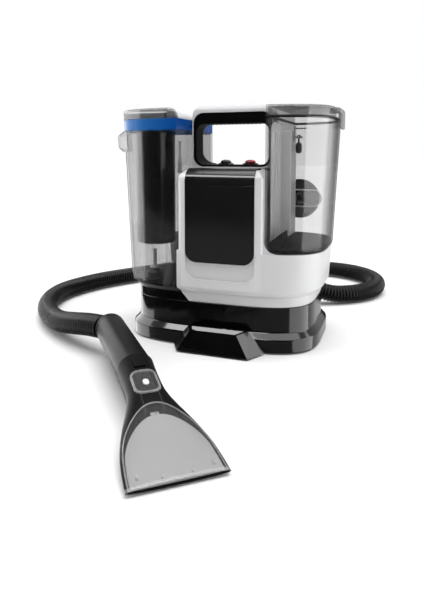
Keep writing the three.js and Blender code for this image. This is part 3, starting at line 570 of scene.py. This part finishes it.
def lower_body(inset):
    waist_x, waist_y = WAIST.half_x - inset, WAIST.half_y - inset
    low, high, half_y = BODY.low_half - inset, BODY.top_half - inset, BODY.half_y - inset
    skirt, bottom = BODY.skirt_top, BODY.bottom + inset
    # A narrow groove at the top of the skirt makes the dark crease that parts it from the body.
    steps = [(1.2, 61.3), (0.3, 62.2), (0, 63.6), (0, skirt - 1.6), (0.9, skirt - 1.2), (0.9, skirt + inset)]
    shape = bowed_loft(stepped(waist_x, waist_y, steps)
                       + [(low - 2.2, half_y - 1.2, bottom - 2.6), (low - 0.6, half_y - 0.3, bottom - 1),
                          (low, half_y, bottom + 1.4), (high, half_y, BODY.top - inset)])
    right = common(shape, along_y(slant_shape(inset), -FAR, FAR))
    rear_left = common(shape, block(-FAR, 70 + inset, 80.3 + inset, -50, FAR, FAR))
    return join(right, rear_left)


def panel_window(shrink):
    half = PANEL.half - shrink
    outline = rounded(-half, PANEL.bottom + shrink, half, 300, [PANEL.corner, PANEL.corner, 0, 0])
    return along_y(outline, -130, PANEL.back - shrink)


def button_wells(radius):
    return [disc(radius, 230, 260, side * BUTTON.x, BUTTON.y) for side in (-1, 1)]


def grille_outline(inset, corner=8):
    half = GRILLE.half - inset
    return rounded(-half, GRILLE.low + inset, half, GRILLE.high - inset, corner)


def build_body():
    window = panel_window(0)
    recessed = join(cut(tower_block(0), window), common(tower_block(PANEL.thick), window))
    pocket_front = TOWER.front + POCKET.depth
    pocket = along_y(rounded(-PANEL.half, POCKET.bottom, PANEL.half, PANEL.bottom + 20,
                             [POCKET.corner, POCKET.corner, 0, 0]), -130, pocket_front)
    cradle = common(bowed_loft([(BODY.top_half - 8, TANK.half_y - 6, 126),
                                (BODY.top_half - 3, TANK.half_y - 2, 140)]),
                    right_of(DIRTY.inner + 3))
    outlet = along_y(grille_outline(0), 80, 120)
    inside = cut(join(tower_block(6), lower_body(5)), block(DIRTY.inner, -FAR, 121, FAR, FAR, 140))
    # The body fills the space under the rounded lower corner of the dirty tank.
    reach = DIRTY.corner - 1.5
    corner = block(TOWER.half - 2, -FAR, 131, DIRTY.inner + reach, FAR, DIRTY.bottom + reach)
    fill = cut(common(tank_outline(0.5, 130, 155), corner), dirty_side(-GAP))
    whole = join(cut(join(recessed, lower_body(0)), inside, cradle, pocket, *button_wells(6), outlet), fill)
    stand_for("body_front_shell", common(whole, before(SPLIT_Y - GAP / 2)), "white", 0.9, 3)
    rear = common(whole, behind(SPLIT_Y + GAP / 2))
    screws = [(x, z) for x in (-46, 46) for z in (104, 222)]
    recess = [along_y(round_outline(x, z, 4.2), 91, 120) for x, z in screws]
    stand_for("body_rear_shell", cut(rear, *recess), "white", 0.9, 3)
    for k, (x, z) in enumerate(screws):
        place(f"rear_screw_{k}", screw_head(x, z, 91.4, 93.4), "steel", "machine", "steel", 0.25)

    half = PANEL.half - GAP
    front, top = TOWER.front - PANEL.proud, TOWER.top + PANEL.proud
    radius = TOWER.edge + PANEL.proud
    # The panel rolls over the top of the tower, with a shallow step just below the roll.
    roll = [(front + radius - radius * cos(a), top - radius + radius * sin(a))
            for a in [radians(9 * i) for i in range(11)]]
    profile = [(front + 0.5, 40), (front + 0.5, top - radius - 3), (front + 1.3, top - radius - 2.2),
               (front + 1.3, top - radius - 1), (front, top - radius - 0.2), *roll, (0, top), (0, 40)]
    face = common(along_x(profile, -half, half), panel_window(GAP),
                  bowed_column(BODY.half_y + PANEL.proud))
    stand_for("front_panel", cut(face, tower_block(PANEL.thick - GAP)), "panel", 0.5, 3)
    build_grille()


def screw_head(x, z, low, high):
    """A pan head with a cross recess, facing back."""
    shape = along_y(round_outline(x, z, 3.6), low, high)
    slots = [along_y([(x - w, z - h), (x + w, z - h), (x + w, z + h), (x - w, z + h)], high - 0.8, high + 2)
             for w, h in ((2.2, 0.45), (0.45, 2.2))]
    return cut(shape, *slots)


def build_grille():
    back = TOWER.back
    plate = along_y(grille_outline(GAP), back - 3, back)
    vents = [along_y(rounded(-24, 154 + 5 * k, 24, 156.6 + 5 * k, 1.2, 4), 80, 120) for k in range(7)]
    stand_for("exhaust_grille", cut(plate, *vents), "satin", 0.35)
    place("exhaust_filter", along_y(grille_outline(1, 7), back - 6, back - 4), "rubber", "machine",
          "soft_black", 0.2)


# ---- handle and buttons
def handle_profile(inset):
    """From the side: a narrow upright arch whose foot widens to the button deck behind it."""
    front, back = HANDLE.front + inset, HANDLE.back - inset
    upright = along_x(rounded(front, 200, back, HANDLE.top, [0, 0, 10 - inset, 10 - inset], 8), -90, 90)
    deck_back, top = DECK.back - inset, DECK.ramp_top
    sweep = [(back + (deck_back - back) * t, DECK.top + (top - DECK.top) * (1 - t) ** 2.4)
             for t in [i / 8 for i in range(8, -1, -1)]]
    foot = along_x([(front, 200), (deck_back, 200), *sweep, (front, top)], -90, 90)
    return join(upright, foot)


def opening(size, grow, low, high):
    """A rounded opening through the handle, from the sizes of the lining or of the hand's gap."""
    return along_y(rounded(-size.half - grow, size.bottom - grow, size.half + grow, size.top + grow,
                           size.corner, 16), low, high)


def build_handle():
    outer = along_y(rounded(-HANDLE.half, TOWER.top + GAP, HANDLE.half, HANDLE.top,
                            [0, 0, HANDLE.corner, HANDLE.corner], 16), HANDLE.front, DECK.back)
    seat = opening(LINING, GAP, -FAR, FAR)
    # The CAD's shell also has the buttons' wells. They are missing here, so the stems cut its floor, unseen.
    stand_for("handle_shell", cut(common(outer, handle_profile(0)), seat), "white", 1.2, 3)
    lining = common(opening(LINING, 0, HANDLE.front, DECK.back), handle_profile(1))
    gap = opening(HAND_GAP, 0, -FAR, FAR)
    # Ridges under the bar give the fingers a hold.
    ridges = [along_y([(x - 1, 320), (x + 1, 320), (x + 1, 310.2), (x - 1, 310.2)], -36, -18)
              for x in range(-36, 37, 6)]
    stand_for("handle_lining", join(cut(lining, gap, *button_wells(8.6)), *ridges), "lining", 1.4, 3)


def build_controls():
    for name, side in (("power", -1), ("heat", 1)):
        x, y = side * BUTTON.x, BUTTON.y
        bezel = [(8.5, 251.8), (12.2, 251.8), (12.1, 252.2), (11.4, 252.7), (10.8, 253.8), (10.4, 254),
                 (9, 254), (8.6, 253.8)]
        stand_for(f"{name}_button_bezel", turned(bezel, x, y), "gloss", 0)
        dome = [(0, 238), (4, 238), (4, 252.4), (7.7, 254.3), (8, 254.7), (8, 255.8), (7.8, 256.3),
                (6.9, 257.2), (5.6, 258), (3.8, 258.6), (1.9, 258.9), (0.2, 259), (0, 259)]
        groove = ring(4.6, 5.2, 257.6, 262, x, y)
        stand_for(f"{name}_button", cut(turned(dome, x, y), groove),
                  "dark_button" if side < 0 else "red_button", 0)
        keep(f"{name}_switch", "satin")


# ---- tanks
def tank_half(z):
    share = (z - TANK.low) / (TANK.top - TANK.low)
    return TANK.low_half + share * (TANK.top_half - TANK.low_half)


def tank_outline(inset, low, high, soft_low=0.0, soft_high=0.0):
    """Both tanks share one bowed outline. soft_low and soft_high round its lower and upper rims."""
    levels = []
    half_y = TANK.half_y - inset
    for rim, soft, angles, upward in ((low, soft_low, (0, 30, 60, 90), 1),
                                      (high, soft_high, (90, 60, 30, 0), -1)):
        for angle in (angles if soft else (90,)):
            drawn = soft * (1 - sin(radians(angle)))
            z = rim + upward * soft * (1 - cos(radians(angle)))
            levels.append((tank_half(z) - inset - drawn, half_y - drawn, z))
    return bowed_loft(levels)


def clean_volume(inset, low, high, soft_low=0.0, soft_high=0.0):
    plan = prism(rounded(-FAR, -FAR, CLEAN.inner - inset, CLEAN.back - inset, [0, 12, 16, 0]), 0, 380)
    return common(tank_outline(inset, low, high, soft_low, soft_high), plan)


def dirty_side(inset):
    """The dirty tank from the front: straight inner wall, rounded lower inner corner."""
    low = DIRTY.bottom + inset
    radii = [DIRTY.corner - inset, 0, 0, 0]
    return along_y(rounded(DIRTY.inner + inset, low, FAR, FAR, radii, 16), -FAR, FAR)


def dirty_volume(inset, low, high, soft_low=0.0, soft_high=0.0):
    return common(tank_outline(inset, low, high, soft_low, soft_high), dirty_side(inset))


def rolled(inset, top, radius):
    """The room under a rounded upper edge along the clean tank's inner side."""
    return along_y(rounded(-FAR, 0, CLEAN.inner - inset, top, [0, 0, radius, 0], 12), -FAR, FAR)


def cap_plan(grow):
    return join(behind(CLEAN.lid_back - grow),
                block(CLEAN.strip_x - grow, CLEAN.strip_y - grow, -FAR, FAR, FAR, FAR))


def build_clean_tank():
    x, y, wall = CLEAN.axis_x, CLEAN.axis_y, TANK.wall
    low, band_low, band_high, top = TANK.low, CLEAN.band_low, CLEAN.band_high, TANK.top
    waist_x, waist_y = WAIST.half_x, WAIST.half_y
    seat = bowed_loft([(waist_x, waist_y, 61.3), (waist_x, waist_y, 73), (waist_x + 1, waist_y + 0.5, 75),
                       (waist_x + 6, waist_y + 3, SLANT.high_z - GAP)])
    outside = cut(block(-FAR, -FAR, 0, 0, FAR, 120), along_y(slant_shape(-GAP * 2), -FAR, FAR))
    socket = disc(9, 60, 90, x, y)
    stand_for("clean_tank_seat", cut(common(seat, outside), socket), "gloss", 0.6)
    keep("water_inlet_socket", "rubber")

    def bump(proud, z):
        return tank_half(z) + proud, TANK.half_y, z

    # A finger grip stands out of the tank's left side, under the band.
    side_grip = common(bowed_loft([bump(5, 271), bump(12, 277), bump(12, 294), bump(2, 300.7)]),
                       block(-FAR, -85, 0, -100, -20, FAR))
    outer = join(clean_volume(0, low, band_low - GAP, soft_low=4), side_grip)
    hole = disc(6, 70, 95, x, y)
    shell = cut(outer, clean_volume(wall, low + wall, band_low + 10, soft_low=3), hole)
    stand_for("clean_tank_shell", shell, "clear", 0.5)
    lip = clean_volume(wall + GAP, band_low - 1.5, band_low + 1)
    band = cut(join(clean_volume(0, band_low, band_high), lip),
               clean_volume(wall + 3, band_low - 10, band_high + 5))
    stand_for("clean_tank_band", band, "blue", 0.5)
    cap = cut(common(clean_volume(0, band_high + GAP, top - 4), cap_plan(0), rolled(0, top - 4, 10)),
              common(clean_volume(wall, band_high - 4, top - 7), cap_plan(-wall), rolled(wall, top - 7, 7.6)))
    stand_for("clean_tank_cap", cap, "cap", 1.2, 3)
    lid = cut(common(cut(clean_volume(0, band_high + GAP, top, soft_high=3), cap_plan(GAP)),
                     rolled(0, top, 13)),
              common(cut(clean_volume(wall, band_high - 4, top - wall), cap_plan(GAP + wall)),
                     rolled(wall, top - wall, 10.6)))
    stand_for("clean_tank_lid", lid, "lid", 0.6)

    cup_y = y + 9
    cup = turned([(0, 135), (24, 135), (26.6, 135.8), (28.3, 137.6), (29, 140.5), (29, 299.2), (28.4, 300.2),
                  (26.6, 300.2), (26, 299), (26, 141), (24.5, 138.5), (0, 138.5)], x - 1, cup_y)
    # A small bracket stands proud of the cup's front.
    clip = [along_y(rounded(x0, 262, x1, z1, 0.4, 3), cup_y - 30.4, cup_y - 26)
            for x0, x1, z1 in ((-120, -118.6, 288), (-110, -108.6, 288), (-120, -108.6, 263.4))]
    stand_for("clean_tank_insert", join(cup, *clip), "gloss", 0.3)
    valve = [(4.4, 74), (5.4, 74), (5.6, 74.4), (5.6, 83), (12.6, 83), (13, 83.4), (13, 91.6), (12.4, 92.2),
             (10.4, 95.6), (9.8, 96), (4.4, 96)]
    fins = [block(x + 12 * cos(a) - 1, y + 12 * sin(a) - 1, 82.8, x + 12 * cos(a) + 1,
                  y + 12 * sin(a) + 1, 90) for a in circle(10)]
    stand_for("tank_valve_housing", join(turned(valve, x, y), *fins), "satin", 0.3)
    stem = [(0, 71), (3.2, 71), (3.6, 71.5), (3.6, 97), (6.6, 97), (7, 97.5), (7, 99.6), (3.4, 101.8),
            (3, 102.4), (3, 125.4), (2.4, 126), (0, 126)]
    stand_for("tank_valve_plunger", turned(stem, x, y), "cap", 0)
    # Moulded ribs rise from the floor of the tank round the valve.
    for k, (rx, ry) in enumerate([(-104, -40), (-88, -62), (-130, -34), (-72, -30)]):
        shape = prism(rounded(rx - 1.1, ry - 3, rx + 1.1, ry + 3, 1, 4), low + wall + 0.1, 132 - 4 * (k % 2))
        place(f"clean_tank_rib_{k}", shape, "crystal", "clean_tank", "clear", 0.3)
    post = [(0, 240), (3.2, 240), (2.6, 262), (1.6, 264), (1.6, 283), (2.4, 284), (2.4, 286), (0, 287)]
    place("clean_tank_post", turned(post, -73, -60), "cap", "clean_tank", "tank_cap", 0.2)


def build_dirty_tank():
    wall, low, lid_low, top = TANK.wall, DIRTY.bottom, DIRTY.lid_low, TANK.top
    floor = low + wall
    inlet = along_x(rounded(-9, 203, 9, 229, 4), 50, 75)
    shell = cut(dirty_volume(0, low, lid_low - GAP, soft_low=3),
                dirty_volume(wall, floor, lid_low + 10, soft_low=3), inlet)
    stand_for("dirty_tank_shell", shell, "smoky", 0.5)
    # The liner of the floor rises to a wedge at its front inner corner.
    wedge = common(dirty_volume(wall + GAP, floor + GAP, 175),
                   along_y([(60, 130), (84, 130), (84, 163), (66, 148), (60, 146)], -100, -50))
    liner = join(dirty_volume(wall + GAP, floor + GAP, 141, soft_high=1), wedge)
    stand_for("dirty_tank_floor", liner, "lining", 0.6)
    seal_high = lid_low + 1.6
    seal = cut(join(dirty_volume(0, lid_low, seal_high), dirty_volume(wall + GAP, lid_low - 2, lid_low + 1)),
               dirty_volume(wall + 1.5, lid_low - 8, lid_low + 4))
    stand_for("dirty_tank_seal", seal, "rubber", 0.4)
    lid_low = seal_high + GAP
    notch = block(136, -26, lid_low - 1, 190, 26, top + 2)
    lid = cut(dirty_volume(0, lid_low, top, soft_high=3), dirty_volume(wall, lid_low - 2, top - wall), notch)
    stand_for("dirty_tank_lid", lid, "lid", 0.6)
    latch = [(136.6, 326), (136.6, 330.2), (137.2, 330.6), (146.6, 330.6), (149.2, 329.6), (150.7, 327.4),
             (151, 325), (151, 304.4), (150.4, 302.8), (148.4, 302), (147.4, 302.4), (147, 325)]
    stand_for("dirty_tank_spout_latch", along_y(latch, -24, 24), "smoky", 0.8, 3)

    duct = cut(block(66, -20, 150, 81.5, 20, 300), block(68.5, -17.5, 140, 79, 17.5, 297),
               block(60, -8, 203, 75, 8, 229))
    stand_for("separator_duct", duct, "duct", 1.4, 3)
    baffle = along_x(rounded(-78, 146, -21, 310, [4, 2, 14, 18], 8), 65.6, 67.2)
    ridges = [along_x(rounded(y, 150, y + 1.6, 296, 0.7, 3), 67, 69.4) for y in (-62, -46, -30)]
    place("tank_baffle", join(baffle, *ridges), "hazy", "dirty_tank", "smoky_clear", 0.3)
    arm = join(block(81.8, -4, 286, 84, 4, 308), block(83, -4, 290, 94, 4, 293),
               block(83, -1.2, 303, 99, 1.2, 305))
    stand_for("float_guide", cut(arm, disc(1.7, 280, 300, FLOAT_X, 0)), "steel", 0.4)
    bob = [(0, 268), (2.2, 268.2), (3.6, 269.4), (4.4, 271), (4.6, 273), (4.6, 279), (4.4, 281), (3.6, 282.6),
           (2.2, 283.8), (1.3, 284), (1.3, 293.4), (2.4, 293.5), (2.5, 294), (2.3, 294.9), (0, 295)]
    stand_for("shutoff_float", turned(bob, FLOAT_X, 0), "rubber", 0)
    build_port()


def keeper_outline(inset):
    return rounded(PORT.low_x + inset, PORT.low_z + inset, PORT.high_x - inset, PORT.high_z - inset,
                   13.9 - inset, 16)


def build_port():
    face = PORT.face
    room = dirty_volume(TANK.wall + 0.8, 150, 300)
    plate = along_y(rounded(47.1, 166.1, 108.9, 227.9, 30.8, 24), face, face + 4)
    stem = along_y(rounded(70, 190, 90, 206, 7.9, 10), face + 3, TANK.half_y - TANK.wall - 1.4)
    bore = along_y(rounded(72, 192, 84, 204, 5.9, 12), face - 10, face + 6)
    stand_for("tank_hose_port", common(cut(join(plate, stem), bore), room), "satin", 0.5)
    # A clear keeper with a pale rim lies across the plate and holds a square socket.
    pill = cut(common(along_y(keeper_outline(0), face - 2, face - 0.2), room), bore)
    place("port_keeper", pill, "milky", "dirty_tank", "smoky_clear", 0.3)
    rim = common(cut(along_y(keeper_outline(0), face - 3, face - 2.1),
                     along_y(keeper_outline(1.6), face - 10, face + 5)), room)
    place("port_keeper_rim", rim, "cap", "dirty_tank", "smoky_clear", 0.2)
    collar = cut(along_y(rounded(67, 187, 88, 209, 5, 8), face - 4.6, face - 2.1),
                 along_y(rounded(69.6, 189.6, 85.4, 206.4, 3.4, 8), face - 10, face + 5))
    place("port_socket", collar, "gloss", "dirty_tank", "smoky_clear", 0.4)


# ---- hose and elbow
def elbow_path(start, end, steps=24):
    cx, cy = ELBOW.x + ELBOW.radius, 112
    arc = [(cx + ELBOW.radius * cos(a), cy + ELBOW.radius * sin(a), ELBOW.z)
           for a in [radians(180 - 82 * i / steps) for i in range(steps + 1)]]
    return [Vector(p) for p in [(ELBOW.x, start, ELBOW.z), (ELBOW.x, 102, ELBOW.z), *arc, end]]


def build_elbow():
    outer = even_route(elbow_path(95.2, (10, 159.4, ELBOW.z)), 3)
    radii = [ELBOW.wall] * len(outer)
    radii[0] -= 0.6
    # Low ribs run round the last centimetres, where the hose goes in.
    for k in range(len(radii) - 7, len(radii)):
        radii[k] = 19.3 if k % 2 else 18.6
    bore = even_route(elbow_path(80, (24, 161.4, ELBOW.z)), 4)
    hollow = tube(bore, [ELBOW.bore] * len(bore), 32)
    stand_for("hose_elbow", cut(tube(outer, radii, 48), hollow), "satin", 0.5)
    keep("power_cord_gland", "rubber", 0.7, 3)


HOSE_ROUTE = [(14, 160, 46.5), (40, 164, 43), (68, 170, 35), (96, 178, 24.5), (122, 188, 17.5),
              (150, 206, 16), (173, 232, 16), (187, 264, 16), (190, 302, 16), (180, 342, 16),
              (157, 377, 16), (122, 402, 16), (82, 413, 16), (24, 412, 16), (-42, 400, 16), (-120, 370, 16),
              (-192, 326, 16), (-253, 271, 16), (-299, 210, 16), (-330, 155, 16), (-348, 101, 16),
              (-354, 50, 16), (-345, 4, 16), (-325, -38, 16), (-297, -75, 16.5), (-264, -106, 18.5),
              (-230, -131, 23), (-195, -150, 30), (-165, -163, 35.5), (-138, -172.8, 38)]


def build_hose():
    """A corrugated suction hose: each rib is a rounded crest with a narrow valley after it."""
    rib = [HOSE_RADIUS, HOSE_RADIUS, 14.8, 12.8, 12.8, 14.5]
    route = even_route(smooth_route(HOSE_ROUTE, 24), 0.93)
    radii = [rib[k % len(rib)] for k in range(len(route))]
    made = stand_for("suction_hose", tube(route, radii, 30), "hose", 0)
    made.modifiers.clear()


# ---- handpiece
def handpiece_frame(slope):
    return (Matrix.Translation((SEAM.x, SEAM.y, SEAM.z))
            @ Matrix.Rotation(radians(SEAM.heading), 4, "Z")
            @ Matrix.Rotation(radians(slope), 4, "Y"))


def grip_section(x, inset):
    radius = GRIP.radius - inset
    return section(x, radius + 0.006 * x, -radius, radius, power=GRIP.power)


def build_grip():
    matrix = handpiece_frame(GRIP.slope)
    length = GRIP.length
    spans = [(-length, 0.6), (-length + 0.6, 0.1), (-length + 2, 0), (-100, 0), (-60, 0), (-20, 0), (-1.4, 0),
             (-0.8, 0.2), (-0.3, 0.7)]
    outer = loft([grip_section(x, inset) for x, inset in spans])
    bore = loft([grip_section(-length - 5, 3), grip_section(5, 3)])
    slot = block(-112, -8, -30, -20, 8, -8)
    shell = cut(outer, bore, slot)
    for half, low, high in (("upper", GAP / 2, 60), ("lower", -60, -GAP / 2)):
        side = common(shell, block(-FAR, -50, low, FAR, 50, high))
        stand_for(f"grip_{half}_shell", side, "grip", 0.35, 2, matrix)
    trigger = [(-104, -18), (-104.5, -25.5), (-103, -28), (-96, -31), (-80, -32.4), (-60, -32), (-42, -30),
               (-34, -28), (-28.5, -24), (-27, -20), (-27, -15), (-34, -13.5), (-60, -16.8)]
    grooves = [along_y([(x, -40), (x + 1.6, -40), (x + 1.6, -31), (x, -31)], -9, 9)
               for x in range(-92, -44, 5)]
    stand_for("spray_trigger", cut(along_y(trigger, -7.2, 7.2), *grooves), "rubber", 0.8, 2, matrix)
    keep("spray_valve", "steel")
    collar = loft([section(-length - x, r, -r, r, power=2) for x, r in
                   ((14, 17.3), (13.2, 17.7), (11, 18.6), (9, 19.2), (7.6, 19.4), (7, 18.9), (6.2, 18.9),
                    (5.6, 19.4), (1, 19.6), (0.3, 19.2))])
    # The hose's end, given in the machine's frame, makes room for itself in the handpiece's.
    hose_end = even_route(smooth_route(HOSE_ROUTE, 24)[-80:], 3)
    room = tube(hose_end, [HOSE_RADIUS + GAP] * len(hose_end), 48)
    room.data.transform(matrix.inverted())
    throat = loft([section(x, 13, -13, 13, power=2) for x in (-length - 20, 10 - length)])
    stand_for("hose_collar", cut(collar, room, throat), "grip", 0.3, 2, matrix)


# The tool's outer skin: x, half width, bottom and top.
TOOL_SHAPE = [(-5, 20, -19.5, 19), (8, 19.3, -18.7, 18.1), (22, 19, -18, 17.5), (36, 19.2, -16.6, 16.6),
              (48, 20, -15, 15.5), (60, 23, -13, 14.3), (72, 27, -11, 13), (85, 31.8, -9, 11.8),
              (98, 36, -7, 10.5), (111, 39.4, -5.5, 9.4), (124, 42, -4, 8.5), (141, 43.7, -2.4, 7.4),
              (158, 44.5, -1, 6.5)]


def tool_at(x):
    """Half width, bottom and top of the tool's outer skin at x."""
    for a, b in zip(TOOL_SHAPE, TOOL_SHAPE[1:]):
        if x <= b[0]:
            share = (x - a[0]) / (b[0] - a[0])
            return [p + share * (q - p) for p, q in zip(a[1:], b[1:])]
    return list(TOOL_SHAPE[-1][1:])


def tool_skin(grow, start=TOOL.start, end=TOOL.end, step=6.5):
    count = max(1, round((end - start) / step))
    rings = []
    for k in range(count + 1):
        x = start + (end - start) * k / count
        half, bottom, top = tool_at(x)
        rings.append(section(x, half + grow, bottom - grow, top + grow, power=TOOL.power))
    return loft(rings)


def arch(start, inset, end=162):
    """The window's outline in plan: a round crown at start, then sides that run inside the tool's own."""
    rise, power, margin, steps = 46, 2.3, 2.4, 30
    upper = []
    for k in range(steps + 1):
        x = start + (end - start) * (k / steps) ** 2
        climb = min(1, (x - start) / rise)
        upper.append((x, (tool_at(x)[0] - margin - inset) * (1 - (1 - climb) ** power) ** (1 / power)))
    return [(x, -y) for x, y in upper[:0:-1]] + upper


def build_tool():
    matrix = handpiece_frame(TOOL.slope)

    def added(name, shape, look, bevel):
        place(name, shape, look, "spray_tool", "clear", bevel, 2, matrix)

    mouth = loft([section(x, 42.3, 0.8, 4.9, power=TOOL.power) for x in (150, 165)])
    grip_end = block(-FAR, -FAR, -FAR, GAP, FAR, FAR)
    grip_end.data.transform(Matrix.Rotation(radians(GRIP.slope - TOOL.slope), 4, "Y"))
    bare = cut(tool_skin(0), join(tool_skin(-2), mouth))
    shell = cut(bare, grip_end)
    window_room = prism(arch(69.6, -0.4), 2.1, 60)
    well = block(3.4, -6.3, 10, 18.6, 6.3, 30)
    stand_for("spray_tool_body", cut(shell, window_room, well), "grip", 0.4, 2, matrix)
    cover = common(bare, prism(arch(70, 0), 2.4, 60))
    stand_for("nozzle_window", cover, "crystal", 0.5, 2, matrix)
    plate = common(tool_skin(-2.4, 70, 156), prism(arch(83, 1.8, 156), -20, 30))
    added("nozzle_plate", plate, "plate", 0.4)
    # A pale moulded rim runs round the window, and a bar closes the upper side of its lip.
    rim = common(cut(tool_skin(0.45), tool_skin(-0.5, -5, 160)), prism(arch(69.8, -0.5, 158), 2.4, 60))
    added("window_rim", cut(rim, prism(arch(71, 0.7), -20, 80)), "milky", 0.1)
    bar = cut(tool_skin(0.5, 155.4, 158.4), tool_skin(-1.1, 150, 165), block(150, -60, -9, 170, 60, -1))
    added("lip_bar", bar, "milky", 0.2)
    studs = [(147, 33, 2.4), (147, -33, 2.4), (152, 13, 1.2), (152, -13, 1.2)]
    for k, (x, y, reach) in enumerate(studs):
        stud = common(tool_skin(0.5), prism(rounded(x - reach, y - 1.1, x + reach, y + 1.1, 1, 5), 2, 30))
        added(f"window_stud_{k}", stud, "milky", 0.1)
    button = join(block(4, -5.6, 12.6, 18, 5.6, 19.6), block(6, -8.6, 11.4, 16, 8.6, 13.6))
    stand_for("tool_release_button", button, "grip", 0.8, 2, matrix)
    keep("spray_jet", "steel")
    # A clear cap over the jet's feed, ahead of the release button, with its pale nozzle under it.
    def cap_prism(grow, radii, low, high):
        return prism(rounded(25 - grow, -13 - grow, 57 + grow, 13 + grow, radii, 8), low, high)

    cap = common(tool_skin(1.1, 20, 70), cap_prism(0, [6, 9, 9, 6], 0, 40))
    added("jet_cap", cut(cap, tool_skin(0.15, 15, 75)), "crystal", 0.4)
    frame_ring = cut(cap_prism(0.4, [6, 9, 9, 6], 0, 40), cap_prism(-1.4, [5, 8, 8, 5], -5, 45))
    edge = common(tool_skin(1.7, 20, 70), frame_ring)
    added("jet_cap_rim", cut(edge, tool_skin(0.15, 15, 75)), "milky", 0.3)
    tip = common(tool_skin(0.9, 20, 70), prism(rounded(38, -3, 46, 3, 2.9, 6), 0, 40))
    added("jet_tip", tip, "cap", 0.2)
    for k, y in enumerate((-9, 9)):
        rail = common(tool_skin(0.5, 50, 90), prism(rounded(56, y - 0.6, 80, y + 0.6, 0.5, 3), 0, 40))
        added(f"jet_rail_{k}", rail, "crystal", 0.2)


# ---- works inside the housing
def build_works():
    for node in ("suction_motor_housing", "motor_bracket", "suction_duct", "water_pump"):
        keep(node, "satin", 0.8)
    keep("motor_mount_ring", "rubber", 0.6)
    keep("suction_fan_rotor", "steel", 0.4)
    keep("heater_block", "copper", 0.8)
    keep("circuit_board", "board", 0.2)


# ---- light and floor
STAGE = Sizes(world=0.6, sun=2.65, right=0.85, left=2.2, front=1.0, card=3.2, strip=11.0)


def add_light(name, data, place_at, shown_in_gloss, lights_matt):
    light = bpy.data.objects.new(name, data)
    light.location = place_at
    light.visible_glossy, light.visible_diffuse = shown_in_gloss, lights_matt
    scene.collection.objects.link(light)
    return light


def area_light(name, place_at, aim, size, radiance, shown_in_gloss, lights_matt):
    data = bpy.data.lights.new(name, "AREA")
    data.shape, data.size, data.size_y = "RECTANGLE", *size
    data.energy = radiance * pi * size[0] * size[1]
    light = add_light(name, data, place_at, shown_in_gloss, lights_matt)
    light.rotation_mode = "QUATERNION"
    light.rotation_quaternion = (Vector(aim) - Vector(place_at)).to_track_quat("-Z", "Y")


def build_world():
    world = bpy.data.worlds.new("studio")
    world.use_nodes = True
    tree = world.node_tree
    tree.nodes.clear()
    # The studio is dark in front of the object and pale above, behind and beside it; the camera sees white.
    toward = add_node(tree, "ShaderNodeTexCoord").outputs["Generated"]
    share = add_node(tree, "ShaderNodeVectorMath", {"operation": "DOT_PRODUCT"}, i0=toward,
                     i1=(0.336, -0.942, 0)).outputs["Value"]
    studio = ranged(tree, share, -0.1, 0.5, STAGE.world, 0.02, interpolation_type="SMOOTHSTEP")
    seen = add_node(tree, "ShaderNodeLightPath").outputs["Is Camera Ray"]
    strength = add_node(tree, "ShaderNodeMix", {"data_type": "FLOAT"}, i0=seen, i2=studio, i3=1.0).outputs[0]
    background = add_node(tree, "ShaderNodeBackground", Color=(1, 1, 1, 1), Strength=strength)
    add_node(tree, "ShaderNodeOutputWorld", Surface=background.outputs[0])
    scene.world = world


def build_stage():
    build_world()
    # The paper is matt; glossy pieces reflect the studio past it, as over a small table.
    material, tree = new_tree("floor_paper")
    tone = blend_colors(tree, spread(tree, noise(tree, 3), 0, 1), rgba((0.91,) * 3), rgba((0.93,) * 3))
    paper = add_node(tree, "ShaderNodeBsdfDiffuse", Color=tone)
    past = add_node(tree, "ShaderNodeBsdfTransparent")
    gloss = add_node(tree, "ShaderNodeLightPath").outputs["Is Glossy Ray"]
    faint = add_node(tree, "ShaderNodeMath", {"operation": "MULTIPLY"}, i0=gloss, i1=0.8).outputs[0]
    mix = add_node(tree, "ShaderNodeMixShader", i0=faint, i1=paper.outputs[0], i2=past.outputs[0])
    add_node(tree, "ShaderNodeOutputMaterial", Surface=mix.outputs[0])
    mesh = bpy.data.meshes.new("floor")
    near, far, z = -1.3, 14, -0.0005
    mesh.from_pydata([(-far, near, z), (far, near, z), (far, far, z), (-far, far, z)], [], [(0, 1, 2, 3)])
    mesh.materials.append(material)
    floor = bpy.data.objects.new("floor", mesh)
    scene.collection.objects.link(floor)

    sun = bpy.data.lights.new("overhead_diffuser", "SUN")
    sun.energy, sun.angle = STAGE.sun, radians(60)
    lamp = add_light("overhead_diffuser", sun, (0, 0, 2), True, True)
    lamp.rotation_euler = (0, radians(8), 0)
    for side, at, aim, size, radiance in (
            ("right", (1.3, -0.5, 0.7), (0.1, 0, 0.2), (1.2, 1.0), STAGE.right),
            ("left", (-1.3, -0.3, 0.7), (-0.1, 0, 0.2), (1.0, 1.0), STAGE.left),
            ("front", (0.5, -1.9, 1.3), (0, 0, 0.15), (0.8, 0.6), STAGE.front)):
        area_light(f"{side}_softbox", at, aim, size, radiance, False, True)
    # Tall cards at both sides and a strip above the camera show in the glossy and clear pieces only.
    for name, at, aim, size, radiance in (
            ("right_card", (1.25, -0.06, 0.27), (0, -0.06, 0.27), (1.94, 1.75), STAGE.card),
            ("left_card", (-1.25, 0.06, 0.27), (0, 0.06, 0.27), (1.68, 1.75), STAGE.card),
            ("top_strip", (-0.35, -0.8, 1.3), (0, -0.1, 0), (1.15, 0.28), STAGE.strip)):
        area_light(name, at, aim, size, radiance, True, False)


make_camera()
LOOKS = make_looks()
for build in (build_hose, build_base, build_body, build_handle, build_controls, build_clean_tank,
              build_dirty_tank, build_elbow, build_grip, build_tool, build_works):
    build()
build_stage()

for blank in list(workshop.objects):
    bpy.data.objects.remove(blank)
bpy.data.collections.remove(workshop)
